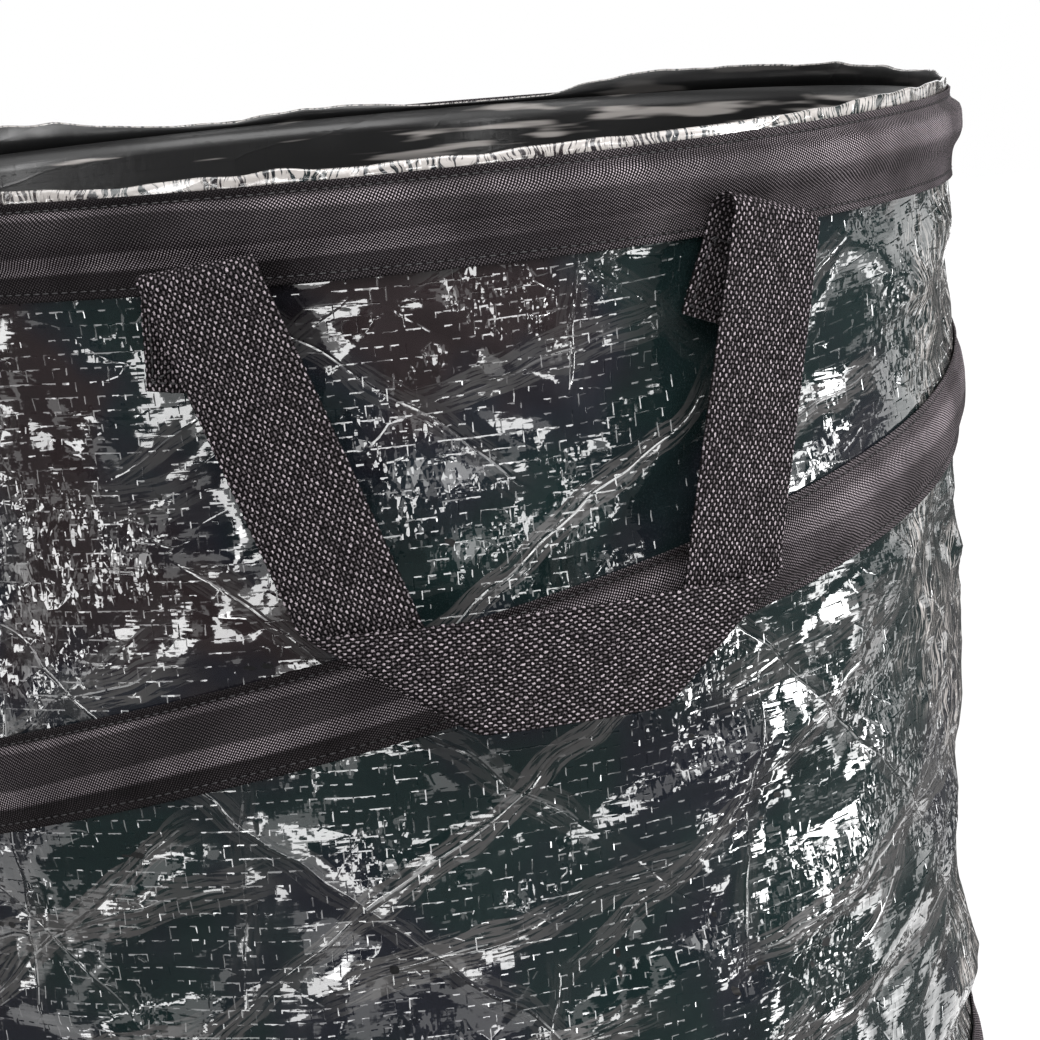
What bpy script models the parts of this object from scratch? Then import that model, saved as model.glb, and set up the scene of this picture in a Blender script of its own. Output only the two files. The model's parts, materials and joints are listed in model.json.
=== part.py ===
"""Pop-up leaf bag: a tapered woven-plastic bag held open by spring wire.

Run it with: blender --background --python part.py
Metres, +Z up. The origin is the middle of the underside, on the floor.
The front handle faces -Y. The wall, spiral and handles are written in three flat
coordinates: across (along the wall, to the right seen from outside), out (away from
the wall) and z.
"""

from math import atan2, ceil, cos, floor, pi, radians, sin

import bmesh
import bpy
from mathutils import Vector

# Overall sizes
HEIGHT = 0.560
RIM_RADIUS = 0.228
BASE_RADIUS = 0.203
FACETS = 60
GAP = 0.0003

# Woven sheet
SHEET = 0.0006
LIP_HEIGHT = 0.0055
HEM_DEPTH = 0.030
BASE_SHEET = 0.0008
BASE_FLANGE_HEIGHT = 0.012
WALL_FLOOR_GAP = 0.0005
SEAM_WIDTH = 0.012
SEAM_ANGLE = radians(114)

# Spring wire and its crimped sleeves
WIRE_RADIUS = 0.00125
WIRE_BEVEL_STEPS = 1
HOOP_END_GAP = 0.0006
FERRULE_WALL = 0.0005
FERRULE_LENGTH = 0.016
FERRULE_SIDES = 8

# Casing tape, sewn over the wire along both edges
TAPE_WIDTH = 0.032
TAPE = 0.0006
TAPE_SEAM = 0.003
RIDGE_SHARE = 0.58
RIDGE_FLAT_SHARE = 0.10
BASE_TAPE_RISE = 0.002

# Spiral: its height above the floor straight behind the front handle, and its rise
SPIRAL_FRONT_HEIGHT = 0.398
SPIRAL_PITCH = 0.262
SPIRAL_END_TUCK = 0.004
SPIRAL_TOP_GAP = 0.002

# Webbing handles
STRAP_WIDTH = 0.038
STRAP = 0.0016
STRAP_ROWS_ACROSS = 4
TAIL_LENGTH = 0.036
TAIL_LIFT_SHARE = 0.9
TAIL_RISE = 0.0035
LEFT_TAIL_LEAN = radians(6)
RIGHT_TAIL_LEAN = radians(20)
FOLD_CLEARANCE = 0.0031
FOLD_SPACING = 0.1946
FOLD_RADIUS = 0.0055
CORNER_RADIUS = 0.002
HANDLE_DROP = 0.133
LEFT_LEAN = radians(18.5)
RIGHT_LEAN = radians(13)
FOLD_STEPS = 6
FLAT_STEPS = 4

# Hook-and-loop tabs that hold the bag flat
CLOSURE_WIDTH = 0.025
CLOSURE_LENGTH = 0.042
CLOSURE = 0.0012
PATCH_LENGTH = 0.016
CLOSURE_COLUMNS = 3
CLOSURE_ANGLE = radians(86)


def clear_scene():
    for old in list(bpy.data.objects):
        bpy.data.objects.remove(old)


def material(name, colour, roughness, metallic=0.0):
    made = bpy.data.materials.new(name)
    made.use_nodes = True
    shader = made.node_tree.nodes["Principled BSDF"]
    shader.inputs["Base Color"].default_value = (*colour, 1.0)
    shader.inputs["Roughness"].default_value = roughness
    shader.inputs["Metallic"].default_value = metallic
    return made


def smoothstep(share):
    share = min(1.0, max(0.0, share))
    return share * share * (3 - 2 * share)


def wall_radius(z):
    """Outside of the wall at height z."""
    return BASE_RADIUS + (RIM_RADIUS - BASE_RADIUS) * z / HEIGHT


def on_wall(angle, out, z):
    """A point at an angle round the bag from the front, turning to the right."""
    radius = wall_radius(z) + out
    return Vector((radius * sin(angle), -radius * cos(angle), z))


# Heights that the pieces share
TAPE_TOP = HEIGHT - LIP_HEIGHT
TAPE_BOTTOM = TAPE_TOP - TAPE_WIDTH
BASE_TAPE_TOP = BASE_TAPE_RISE + TAPE_WIDTH
WALL_TOP = TAPE_TOP - TAPE_SEAM
HOOP_OUT = GAP + WIRE_RADIUS + GAP + FERRULE_WALL
HOOP_BULGE = 2 * HOOP_OUT - GAP
SPIRAL_OUT = GAP + WIRE_RADIUS
SPIRAL_BULGE = 2 * WIRE_RADIUS + GAP
STEP = 2 * pi / FACETS


def finish(name, obj, parent, look, smooth_angle=radians(35)):
    """Names an object, gives it its parent and material, and shades it."""
    obj.name = name
    obj.data.name = name
    obj.parent = parent
    if not obj.data.materials:
        obj.data.materials.append(look)
    if obj.type == "MESH":
        obj.data.shade_smooth()
        obj.data.set_sharp_from_angle(angle=smooth_angle)
    return obj


def link(data):
    made = bpy.data.objects.new(data.name, data)
    bpy.context.scene.collection.objects.link(made)
    return made


def turned(name, outline, parent, look):
    """A ring turned round Z from (out, z) points that run down its outer side."""
    shape = bmesh.new()
    corners = [shape.verts.new((wall_radius(z) + out, 0, z)) for out, z in outline]
    for n, corner in enumerate(corners):
        shape.edges.new((corner, corners[(n + 1) % len(corners)]))
    data = bpy.data.meshes.new(name)
    shape.to_mesh(data)
    shape.free()
    made = link(data)
    screw = made.modifiers.new("turn", "SCREW")
    screw.steps = screw.render_steps = FACETS
    screw.use_merge_vertices = True
    screw.merge_threshold = GAP / 30
    return finish(name, made, parent, look)


def ribbon(name, rows, thickness, parent, look, origin=Vector()):
    """A band of cloth through rows of points, as thick as given, half on each side."""
    shape = bmesh.new()
    grid = [[shape.verts.new(p - origin) for p in row] for row in rows]
    for near, far in zip(grid, grid[1:]):
        for n in range(len(near) - 1):
            shape.faces.new((near[n], near[n + 1], far[n + 1], far[n]))
    bmesh.ops.recalc_face_normals(shape, faces=shape.faces)
    data = bpy.data.meshes.new(name)
    shape.to_mesh(data)
    shape.free()
    made = link(data)
    made.location = origin
    solid = made.modifiers.new("thickness", "SOLIDIFY")
    solid.thickness = thickness
    solid.offset = 0
    solid.use_even_offset = True
    return finish(name, made, parent, look)


def flat_ring(radius, z, sides):
    """Points round a level circle, at the same angles as the wall's corners."""
    return [Vector((radius * sin(n * 2 * pi / sides), -radius * cos(n * 2 * pi / sides), z))
            for n in range(sides)]


def lofted(name, loops, closed, parent, look):
    """A solid skinned through loops of points. If not closed, its end loops are capped."""
    shape = bmesh.new()
    grid = [[shape.verts.new(p) for p in loop] for loop in loops]
    following = grid[1:] + grid[:1] if closed else grid[1:]
    for near, far in zip(grid, following):
        for n in range(len(near)):
            ahead = (n + 1) % len(near)
            shape.faces.new((near[n], near[ahead], far[ahead], far[n]))
    if not closed:
        shape.faces.new(grid[0])
        shape.faces.new(grid[-1])
    bmesh.ops.recalc_face_normals(shape, faces=shape.faces)
    data = bpy.data.meshes.new(name)
    shape.to_mesh(data)
    shape.free()
    return finish(name, link(data), parent, look)


def wire(name, points, parent, look):
    """Round spring wire along points, with closed ends."""
    data = bpy.data.curves.new(name, "CURVE")
    data.dimensions = "3D"
    data.bevel_depth = WIRE_RADIUS
    data.bevel_resolution = WIRE_BEVEL_STEPS
    data.use_fill_caps = True
    run = data.splines.new("POLY")
    run.points.add(len(points) - 1)
    for slot, p in zip(run.points, points):
        slot.co = (*p, 1)
    return finish(name, link(data), parent, look)


def tape_bulge(share):
    """How far the tape stands off the wall, as a share of its bulge, across its width."""
    seam_share = TAPE_SEAM / TAPE_WIDTH
    if share < RIDGE_SHARE:
        return smoothstep((share - seam_share) / (RIDGE_SHARE - RIDGE_FLAT_SHARE - seam_share))
    return smoothstep((1 - seam_share - share) / (1 - seam_share - RIDGE_SHARE - RIDGE_FLAT_SHARE / 2))


def tape_shares():
    """Where the tape's section has its points, from its lower edge to its upper one."""
    seam_share = TAPE_SEAM / TAPE_WIDTH
    low_middle = (seam_share + RIDGE_SHARE - RIDGE_FLAT_SHARE) / 2
    high_middle = (1 - seam_share + RIDGE_SHARE + RIDGE_FLAT_SHARE / 2) / 2
    return (
        0,
        seam_share,
        low_middle,
        RIDGE_SHARE - RIDGE_FLAT_SHARE,
        RIDGE_SHARE + RIDGE_FLAT_SHARE / 2,
        high_middle,
        1 - seam_share,
        1,
    )


def ring_casing(name, low, parent, look):
    """Tape round the bag, sewn over a hoop. Its lower edge is at height low."""
    inner = [(GAP + HOOP_BULGE * tape_bulge(s), low + TAPE_WIDTH * s) for s in tape_shares()]
    outer = [(out + TAPE, z) for out, z in inner]
    return turned(name, outer[::-1] + inner, parent, look)


def hoop_height(low):
    return low + TAPE_WIDTH * (RIDGE_SHARE - RIDGE_FLAT_SHARE / 4)


def hoop(name, z, joint_facet, parent, look):
    """A ring of wire whose two ends meet in a sleeve at the middle of one facet."""
    first = joint_facet + 1
    corners = [on_wall((first + n) * STEP, HOOP_OUT, z) for n in range(FACETS)]
    middle = (corners[0] + corners[-1]) / 2
    along = (corners[0] - corners[-1]).normalized()
    ends = [middle + along * HOOP_END_GAP / 2, middle - along * HOOP_END_GAP / 2]
    return wire(name, [ends[0], *corners, ends[1]], parent, look)


def ferrule(name, z, joint_facet, parent, look):
    """The crimped sleeve round a hoop's two ends: a short tube."""
    here, there = (on_wall((joint_facet + n) * STEP, HOOP_OUT, z) for n in (0, 1))
    along = (there - here).normalized()
    bore = (WIRE_RADIUS + GAP) / cos(pi / FERRULE_SIDES)
    outside = WIRE_RADIUS + GAP + FERRULE_WALL
    half = FERRULE_LENGTH / 2
    loops = [flat_ring(*size, FERRULE_SIDES) for size in
             ((bore, -half), (outside, -half), (outside, half), (bore, half))]
    made = lofted(name, loops, True, parent, look)
    made.location = (here + there) / 2
    made.rotation_mode = "QUATERNION"
    made.rotation_quaternion = along.to_track_quat("Z", "Y")
    return made


def wall_panel(parent, look):
    outline = [(0, WALL_TOP), (0, WALL_FLOOR_GAP), (-SHEET, WALL_FLOOR_GAP), (-SHEET, WALL_TOP)]
    return turned("wall_panel", outline, parent, look)


def rim_hem(parent, look):
    """The sheet's folded top edge: the lip that shows, and the turned-in hem below it."""
    inside = -2 * SHEET - GAP
    above = WALL_TOP + GAP
    shoulder = HEIGHT - SHEET
    outline = [
        (0, shoulder),
        (0, above),
        (-SHEET - GAP, above),
        (-SHEET - GAP, WALL_TOP - HEM_DEPTH),
        (inside, WALL_TOP - HEM_DEPTH),
        (inside, shoulder),
        (inside + SHEET, HEIGHT),
        (-SHEET, HEIGHT),
    ]
    return turned("rim_hem", outline, parent, look)


def base_panel(parent, look):
    """The round floor, with its edge turned up inside the wall."""
    radius = wall_radius(0) - SHEET - GAP
    inside = radius - BASE_SHEET
    loops = [flat_ring(*size, FACETS) for size in
             ((radius, 0), (radius, BASE_FLANGE_HEIGHT), (inside, BASE_FLANGE_HEIGHT), (inside, BASE_SHEET))]
    return lofted("base_panel", loops, False, parent, look)


def wall_seam(parent, look):
    """The lapped seam that closes the wall into a tube, on its inside."""
    low = BASE_FLANGE_HEIGHT + BASE_SHEET
    high = WALL_TOP - HEM_DEPTH - SHEET
    out = -SHEET - GAP - SHEET / 2
    half = SEAM_WIDTH / wall_radius(HEIGHT) / 2
    sag = wall_radius(HEIGHT) * (1 - cos(half)) + GAP / 2
    rows = [[on_wall(SEAM_ANGLE + side * half, out - sag, z) for side in (-1, 1)] for z in (low, high)]
    return ribbon("wall_seam", rows, SHEET, parent, look)


def spiral_height(angle):
    """Height of the spiral wire's middle at an angle round the bag."""
    return SPIRAL_FRONT_HEIGHT + SPIRAL_PITCH * angle / (2 * pi)


def spiral_angle(height):
    return (height - SPIRAL_FRONT_HEIGHT) * 2 * pi / SPIRAL_PITCH


SPIRAL_TILT = atan2(SPIRAL_PITCH, pi * (RIM_RADIUS + BASE_RADIUS))
SPIRAL_TAPE = TAPE_WIDTH / cos(SPIRAL_TILT)
SPIRAL_START = spiral_angle(BASE_TAPE_TOP + GAP + SPIRAL_TAPE * RIDGE_SHARE)
SPIRAL_END = spiral_angle(TAPE_BOTTOM - SPIRAL_TOP_GAP - SPIRAL_TAPE * (1 - RIDGE_SHARE))
SPIRAL_WIRE_INSET = SPIRAL_END_TUCK / wall_radius(HEIGHT)


def facet_steps(start, end):
    """Angles on the wall's facet corners from start to end, with both ends themselves."""
    first, last = ceil(start / STEP + GAP), floor(end / STEP - GAP)
    return [start, *(n * STEP for n in range(first, last + 1)), end]


def spiral_casing(parent, look):
    """Tape sewn over the spiral wire, from the base tape up to the rim tape."""
    rows = []
    for angle in facet_steps(SPIRAL_START, SPIRAL_END):
        low = spiral_height(angle) - SPIRAL_TAPE * RIDGE_SHARE
        row = [(GAP + TAPE / 2 + SPIRAL_BULGE * tape_bulge(share), low + SPIRAL_TAPE * share)
               for share in tape_shares()]
        rows.append([on_wall(angle, out, z) for out, z in row])
    return ribbon("spiral_casing", rows, TAPE, parent, look)


def spiral_spring(parent, look):
    """The spiral wire, which ends just inside its tape."""
    turns = facet_steps(SPIRAL_START + SPIRAL_WIRE_INSET, SPIRAL_END - SPIRAL_WIRE_INSET)
    route = [on_wall(a, SPIRAL_OUT, spiral_height(a)) for a in turns]
    return wire("spiral_spring", route, parent, look)


class Fold:
    """A half turn of the strap about a crease that crosses it at an angle.

    along is where the crease crosses the strap's middle line, slant the angle between the
    crease and the strap's width, and side +1 or -1 for the face that it folds towards.
    """

    def __init__(self, along, slant, radius, side):
        self.along, self.slant, self.radius, self.side = along, slant, radius, side
        self.across = Vector((cos(slant), -sin(slant)))
        self.crease = Vector((sin(slant), cos(slant)))
        self.arc = pi * radius

    def past(self, s, t):
        """How far a flat point lies past the crease, square to it."""
        return (s - self.along) * cos(self.slant) - t * sin(self.slant)

    def bend(self, p, s, t):
        """Folds p, which belongs to the flat point (s, t)."""
        far = self.past(s, t)
        if far <= 0:
            return p
        flat = Vector((p.x - self.along, p.y))
        d, c, o = flat.dot(self.across), flat.dot(self.crease), p.z * self.side
        turn = min(pi, far / self.radius)
        spare = d - self.radius * turn
        new_d = self.radius * sin(turn) + spare * cos(turn) - o * sin(turn)
        new_o = self.radius * (1 - cos(turn)) + spare * sin(turn) + o * cos(turn)
        flat = self.across * new_d + self.crease * c
        return Vector((flat.x + self.along, flat.y, new_o * self.side))


def unit(angle):
    """A step of unit length at an angle in the flat of the wall: across, then z."""
    return Vector((cos(angle), sin(angle)))


FOLD_HEIGHT = TAPE_BOTTOM + TAIL_RISE
STRAP_TAIL_OUT = GAP + STRAP / 2
STRAP_FOLD_OUT = STRAP_TAIL_OUT + FOLD_CLEARANCE
LEG_OUT = STRAP_FOLD_OUT + 2 * FOLD_RADIUS
HANDLE_CURVE = wall_radius(FOLD_HEIGHT) + STRAP_FOLD_OUT + FOLD_RADIUS
HANDLE_HALF_ANGLE = FOLD_SPACING / 2 / HANDLE_CURVE


def handle_folds():
    """The strap's four folds, laid out so that the two at the mouth are level.

    The strap goes up the left tail, over, down the left leg, across, up the right leg,
    over and down the right tail.
    """
    up, across = pi / 2, 0
    headings = (up - LEFT_TAIL_LEAN, LEFT_LEAN - up, across, up - RIGHT_LEAN, -up - RIGHT_TAIL_LEAN)
    radii = (FOLD_RADIUS, CORNER_RADIUS, CORNER_RADIUS, FOLD_RADIUS)
    slants, drifts = [], []
    for n, radius in enumerate(radii):
        crease = (headings[n] + headings[n + 1]) / 2
        between = crease - headings[n]
        mirror = -1 if n % 2 else 1
        slants.append(pi / 2 - (mirror * between) % pi)
        drifts.append(unit(crease) * pi * radius * cos(between) / abs(sin(between)))
    left, right = unit(headings[1]), unit(headings[3])
    left_leg = (-HANDLE_DROP - drifts[0].y - drifts[1].y) / left.y
    right_leg = (HANDLE_DROP - drifts[2].y - drifts[3].y) / right.y
    sideways = left.x * left_leg + right.x * right_leg + sum(d.x for d in drifts)
    folds, along = [], TAIL_LENGTH
    for n, reach in enumerate((left_leg, FOLD_SPACING - sideways, right_leg, TAIL_LENGTH)):
        side = 1 if n in (0, 3) else -1
        folds.append(Fold(along, slants[n], radii[n], side))
        along += pi * radii[n] / cos(slants[n]) + reach
    return folds, along


def strap_line(fold, far):
    """Places along the strap, one for each column, on a line parallel to a fold's crease."""
    return [fold.along + (far + t * sin(fold.slant)) / cos(fold.slant) for t in strap_columns()]


def strap_columns():
    return [STRAP_WIDTH * (n / STRAP_ROWS_ACROSS - 1 / 2) for n in range(STRAP_ROWS_ACROSS + 1)]


def between_lines(start, end, steps):
    """Lines spread evenly from start to end, both included."""
    return [[a + (b - a) * n / steps for a, b in zip(start, end)] for n in range(steps + 1)]


def strap_rows(lines, folds, length, facing):
    """World points of strap lines, for a handle centred at the angle facing."""
    rows = []
    for line in lines:
        row = []
        for s, t in zip(line, strap_columns()):
            p = Vector((s, t, 0))
            for fold in reversed(folds):
                p = fold.bend(p, s, t)
            tail = smoothstep(min(s, length - s) / (TAIL_LENGTH * TAIL_LIFT_SHARE))
            out = STRAP_TAIL_OUT + (STRAP_FOLD_OUT - STRAP_TAIL_OUT) * tail + p.z
            rise, aside = p.x - TAIL_LENGTH, -p.y
            sideways = -FOLD_SPACING / 2 + aside * cos(LEFT_TAIL_LEAN) + rise * sin(LEFT_TAIL_LEAN)
            z = FOLD_HEIGHT + rise * cos(LEFT_TAIL_LEAN) - aside * sin(LEFT_TAIL_LEAN)
            row.append(on_wall(facing + sideways / HANDLE_CURVE, out, z))
        rows.append(row)
    return rows


def handle(side, facing, rim, swing, look):
    """One webbing handle: two sewn tails, two folds that bend, and the loop that swings."""
    folds, length = handle_folds()
    first, second, third, fourth = folds
    start = [0] * len(strap_columns())
    end = [length] * len(start)
    half = GAP / 2
    pieces = {
        f"{side}_tail_left": between_lines(start, strap_line(first, -half), FLAT_STEPS),
        f"{side}_tail_right": between_lines(strap_line(fourth, fourth.arc + half), end, FLAT_STEPS),
        f"{side}_fold_left": fold_lines(first, half, first.arc - half),
        f"{side}_fold_right": fold_lines(fourth, half, fourth.arc - half),
        f"{side}_handle": [
            *between_lines(strap_line(first, first.arc + half), strap_line(second, 0), FLAT_STEPS)[:-1],
            *fold_lines(second, 0, second.arc)[:-1],
            *between_lines(strap_line(second, second.arc), strap_line(third, 0), FLAT_STEPS)[:-1],
            *fold_lines(third, 0, third.arc)[:-1],
            *between_lines(strap_line(third, third.arc), strap_line(fourth, -half), FLAT_STEPS),
        ],
    }
    for name, lines in pieces.items():
        swings = name.endswith("handle")
        origin = Vector(handle_hinge(facing)) if swings else Vector()
        rows = strap_rows(lines, folds, length, facing)
        ribbon(name, rows, STRAP, swing if swings else rim, look, origin)


def fold_lines(fold, near, far):
    """Lines through a fold, spread evenly round its turn."""
    return between_lines(strap_line(fold, near), strap_line(fold, far), FOLD_STEPS)


def handle_hinge(facing):
    """The middle of a handle's swing axis, which passes through the tops of both legs."""
    z = FOLD_HEIGHT + FOLD_RADIUS
    reach = (wall_radius(z) + LEG_OUT) * cos(HANDLE_HALF_ANGLE)
    return reach * sin(facing), -reach * cos(facing), z


def closure_rows(facing, out, low, high):
    half = CLOSURE_WIDTH / 2 / wall_radius(high)
    angles = [facing + half * (2 * n / CLOSURE_COLUMNS - 1) for n in range(CLOSURE_COLUMNS + 1)]
    return [[on_wall(a, out, low + (high - low) * n / FLAT_STEPS) for a in angles]
            for n in range(FLAT_STEPS + 1)]


CLOSURE_OUT = GAP + CLOSURE / 2
CLOSURE_TOP = TAPE_BOTTOM - GAP - CLOSURE / 2
PATCH_LOW = BASE_TAPE_TOP + GAP


def closure(side, facing, rim, base, look, patch_look):
    """A hook tab sewn under the rim tape and its loop patch above the base tape."""
    pivot = on_wall(facing, CLOSURE_OUT, CLOSURE_TOP)
    rows = closure_rows(facing, CLOSURE_OUT, CLOSURE_TOP - CLOSURE_LENGTH, CLOSURE_TOP)
    ribbon(f"closure_tab_{side}", rows, CLOSURE, rim, look, pivot)
    rows = closure_rows(facing, CLOSURE_OUT, PATCH_LOW, PATCH_LOW + PATCH_LENGTH)
    ribbon(f"closure_patch_{side}", rows, CLOSURE, base, patch_look)


def body(name, parent=None):
    """An empty that holds the pieces which move as one."""
    holder = bpy.data.objects.new(name, None)
    bpy.context.scene.collection.objects.link(holder)
    holder.parent = parent
    return holder


def build():
    clear_scene()
    tape = material("casing_tape", (0.064, 0.056, 0.060), 0.85)
    steel = material("spring_steel", (0.45, 0.45, 0.47), 0.35, 1.0)
    sleeve = material("crimped_sleeve", (0.60, 0.60, 0.62), 0.30, 1.0)
    sheet = material("woven_sheet", (0.010, 0.022, 0.021), 0.30)
    lip = material("sheet_lip", (0.020, 0.040, 0.036), 0.28)
    floor_sheet = material("floor_sheet", (0.008, 0.018, 0.017), 0.35)
    webbing = material("webbing", (0.052, 0.044, 0.042), 0.80)
    hook = material("hook_tab", (0.012, 0.012, 0.013), 0.75)
    loop = material("loop_patch", (0.016, 0.016, 0.017), 0.95)

    base = body("base_body")
    rim = body("rim_body", base)
    swings = {side: body(f"{side}_handle_body", rim) for side in ("front", "rear")}

    base_panel(base, floor_sheet)
    wall_panel(base, sheet)
    wall_seam(base, sheet)
    base_hoop_height = hoop_height(BASE_TAPE_RISE)
    rim_hoop_height = hoop_height(TAPE_BOTTOM)
    ring_casing("base_casing", BASE_TAPE_RISE, base, tape)
    hoop("base_hoop", base_hoop_height, FACETS // 2, base, steel)
    ferrule("base_hoop_ferrule", base_hoop_height, FACETS // 2, base, sleeve)
    spiral_spring(base, steel)
    spiral_casing(base, tape)

    ring_casing("rim_casing", TAPE_BOTTOM, rim, tape)
    hoop("rim_hoop", rim_hoop_height, FACETS // 3, rim, steel)
    ferrule("rim_hoop_ferrule", rim_hoop_height, FACETS // 3, rim, sleeve)
    rim_hem(rim, lip)
    handle("front", 0, rim, swings["front"], webbing)
    handle("rear", pi, rim, swings["rear"], webbing)
    closure("right", CLOSURE_ANGLE, rim, base, hook, loop)
    closure("left", -CLOSURE_ANGLE, rim, base, hook, loop)


build()
for side, facing in (("front", 0), ("rear", pi)):
    print(side, "handle hinge", [round(v, 5) for v in handle_hinge(facing)])
for side, facing in (("right", CLOSURE_ANGLE), ("left", -CLOSURE_ANGLE)):
    print(side, "tab hinge", [round(v, 5) for v in on_wall(facing, CLOSURE_OUT, CLOSURE_TOP)])
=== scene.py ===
"""Dresses the pop-up leaf bag: crinkled film cloth, twill tapes, webbing and stitching.

Metres, +Z up, in the same frame as the CAD. Run as a script in Blender 4.5.
"""

import json
from math import atan2, cos, pi, radians, sin

import bpy
import numpy as np
from mathutils import Matrix, Vector


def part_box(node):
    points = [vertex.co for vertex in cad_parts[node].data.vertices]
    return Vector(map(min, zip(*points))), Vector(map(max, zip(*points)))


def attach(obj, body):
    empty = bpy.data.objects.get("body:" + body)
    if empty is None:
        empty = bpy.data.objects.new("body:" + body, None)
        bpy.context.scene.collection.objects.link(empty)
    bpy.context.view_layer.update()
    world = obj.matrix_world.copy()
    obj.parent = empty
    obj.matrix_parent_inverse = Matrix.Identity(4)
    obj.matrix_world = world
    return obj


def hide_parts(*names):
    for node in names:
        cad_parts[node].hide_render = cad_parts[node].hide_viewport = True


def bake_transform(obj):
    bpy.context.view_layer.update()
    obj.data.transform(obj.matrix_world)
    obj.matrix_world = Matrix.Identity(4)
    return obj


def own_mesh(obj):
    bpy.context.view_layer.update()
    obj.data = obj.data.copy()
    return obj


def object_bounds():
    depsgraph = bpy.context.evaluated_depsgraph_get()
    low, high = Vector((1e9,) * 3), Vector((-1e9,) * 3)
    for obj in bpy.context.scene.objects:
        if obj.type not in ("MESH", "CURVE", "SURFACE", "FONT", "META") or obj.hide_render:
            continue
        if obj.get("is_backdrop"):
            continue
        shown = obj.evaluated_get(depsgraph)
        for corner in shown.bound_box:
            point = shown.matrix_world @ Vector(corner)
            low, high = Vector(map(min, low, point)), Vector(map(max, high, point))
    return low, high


bl_info = {
    "name": "Pop-up leaf bag",
    "version": (1, 0, 0),
    "blender": (4, 5, 0),
    "location": "3D View > Sidebar > Leaf Bag",
    "description": "Cloth, tapes, webbing, stitching, studio and camera for the leaf bag",
    "category": "Object",
}

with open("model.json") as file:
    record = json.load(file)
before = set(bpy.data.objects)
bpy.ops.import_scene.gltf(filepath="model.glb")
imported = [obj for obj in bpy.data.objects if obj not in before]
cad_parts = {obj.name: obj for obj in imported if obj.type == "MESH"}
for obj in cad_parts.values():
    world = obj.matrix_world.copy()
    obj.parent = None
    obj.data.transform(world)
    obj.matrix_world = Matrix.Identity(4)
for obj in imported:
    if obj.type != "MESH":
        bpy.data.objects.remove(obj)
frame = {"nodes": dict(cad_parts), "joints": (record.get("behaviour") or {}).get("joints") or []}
CAD_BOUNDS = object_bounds()
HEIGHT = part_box("rim_hem")[1].z
RIM_RADIUS = 0.228
BASE_RADIUS = 0.203


def length_property(name, description, default):
    return bpy.props.FloatProperty(name=name, description=description, default=default, unit="LENGTH")


class BagSizes(bpy.types.PropertyGroup):
    """Sizes that the cloth, tapes and webbing share with the solids."""

    tape_width: length_property("Tape width", "Width of the tape sewn over the spring wire", 0.032)
    lip_height: length_property(
        "Lip height", "How far the sheet's folded edge stands above the rim tape", 0.0055)
    strap_width: length_property("Strap width", "Width of the handle webbing", 0.038)
    strap_thickness: length_property(
        "Strap thickness", "Thickness of the webbing's core, without its weave", 0.0012)
    yarn_pitch: length_property(
        "Yarn pitch", "Distance between the webbing's lengthwise yarns", 0.00112)
    pick_pitch: length_property(
        "Pick pitch", "Distance between the webbing's crosswise yarns", 0.0015)
    sheet_tape: length_property(
        "Sheet tape width", "Width of the flat tapes that the sheet is woven from", 0.00236)
    crease_depth: length_property("Crease depth", "Height of the wall's largest creases", 0.0052)
    wall_draw: length_property(
        "Wall draw", "How far the wall is drawn in between its tapes", 0.0038)
    stitch_length: length_property("Stitch length", "Length of one stitch", 0.0026)
    stitch_pitch: length_property("Stitch pitch", "Distance from one stitch to the next", 0.0034)


def colour_property(name, description, default):
    return bpy.props.FloatVectorProperty(
        name=name, description=description, default=default, subtype="COLOR", min=0, max=1)


class BagLooks(bpy.types.PropertyGroup):
    """Colours of the bag's finishes, in linear light."""

    film_dark: colour_property(
        "Film, dark", "The sheet where it is nearly black", (0.0130, 0.0145, 0.0205))
    film_green: colour_property(
        "Film, green", "The sheet where its green shows", (0.0090, 0.0182, 0.0185))
    film_warm: colour_property(
        "Film, warm", "The sheet where it looks brownish", (0.0230, 0.0170, 0.0180))
    # a grey sheen painted along the creases, standing in for a reflection of the studio
    film_painted_sheen: colour_property("Film, hazy", "The sheet along its creases", (0.074, 0.072, 0.072))
    # a whitish highlight painted on the crinkles at the right, all over the lip and as glints inside
    film_painted_highlight: colour_property(
        "Film, crinkled", "The sheet where fine crinkles whiten it", (0.46, 0.43, 0.41))
    film_inside: colour_property(
        "Film, inside", "The sheet's dull inner side", (0.0105, 0.0105, 0.0108))
    tape: colour_property("Tape", "The twill tape over the wires", (0.046, 0.040, 0.043))
    webbing: colour_property("Webbing", "The handle webbing", (0.074, 0.064, 0.069))
    thread: colour_property("Thread", "The sewing thread", (0.020, 0.018, 0.020))
    steel: colour_property("Steel", "The spring wire", (0.42, 0.42, 0.44))
    sleeve: colour_property("Sleeve", "The crimped sleeves", (0.56, 0.56, 0.58))
    hook: colour_property("Hook tape", "The storage tabs", (0.012, 0.012, 0.013))


def sizes():
    return bpy.context.scene.bag_sizes


def looks():
    return bpy.context.scene.bag_looks


# The bag's surface, as the solids have it

GAP = 0.0003
SHEET = 0.0006
TAPE = 0.0006
TAPE_SEAM = 0.003
# how far up a tape's width its wire lies, as a share of the width
RIDGE_SHARE = 0.58
BASE_TAPE_RISE = 0.002
# share of the folded height that keeps the wall's folds off the rim tape
FOLDED_CLEAR = 0.98
WIRE_RADIUS = 0.00125
HOOP_BULGE = 0.0044
SPIRAL_BULGE = 2 * WIRE_RADIUS + GAP
WIRE_INSET = 0.004 / RIM_RADIUS
SPIRAL_FRONT_HEIGHT = 0.398
SPIRAL_PITCH = 0.262
SPIRAL_END_GAP = 0.002
SEAM_ANGLE = radians(114)
TAPER = (RIM_RADIUS - BASE_RADIUS) / HEIGHT
SIDES = (("front", 0.0), ("rear", pi))


def wall_radius(z):
    return BASE_RADIUS + TAPER * z


def on_wall(angle, out, z):
    """Points at angles round the bag from the front, turning to the right, as an array."""
    radius = wall_radius(z) + out
    return np.stack([radius * np.sin(angle), -radius * np.cos(angle), z + 0 * angle], -1)


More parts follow.
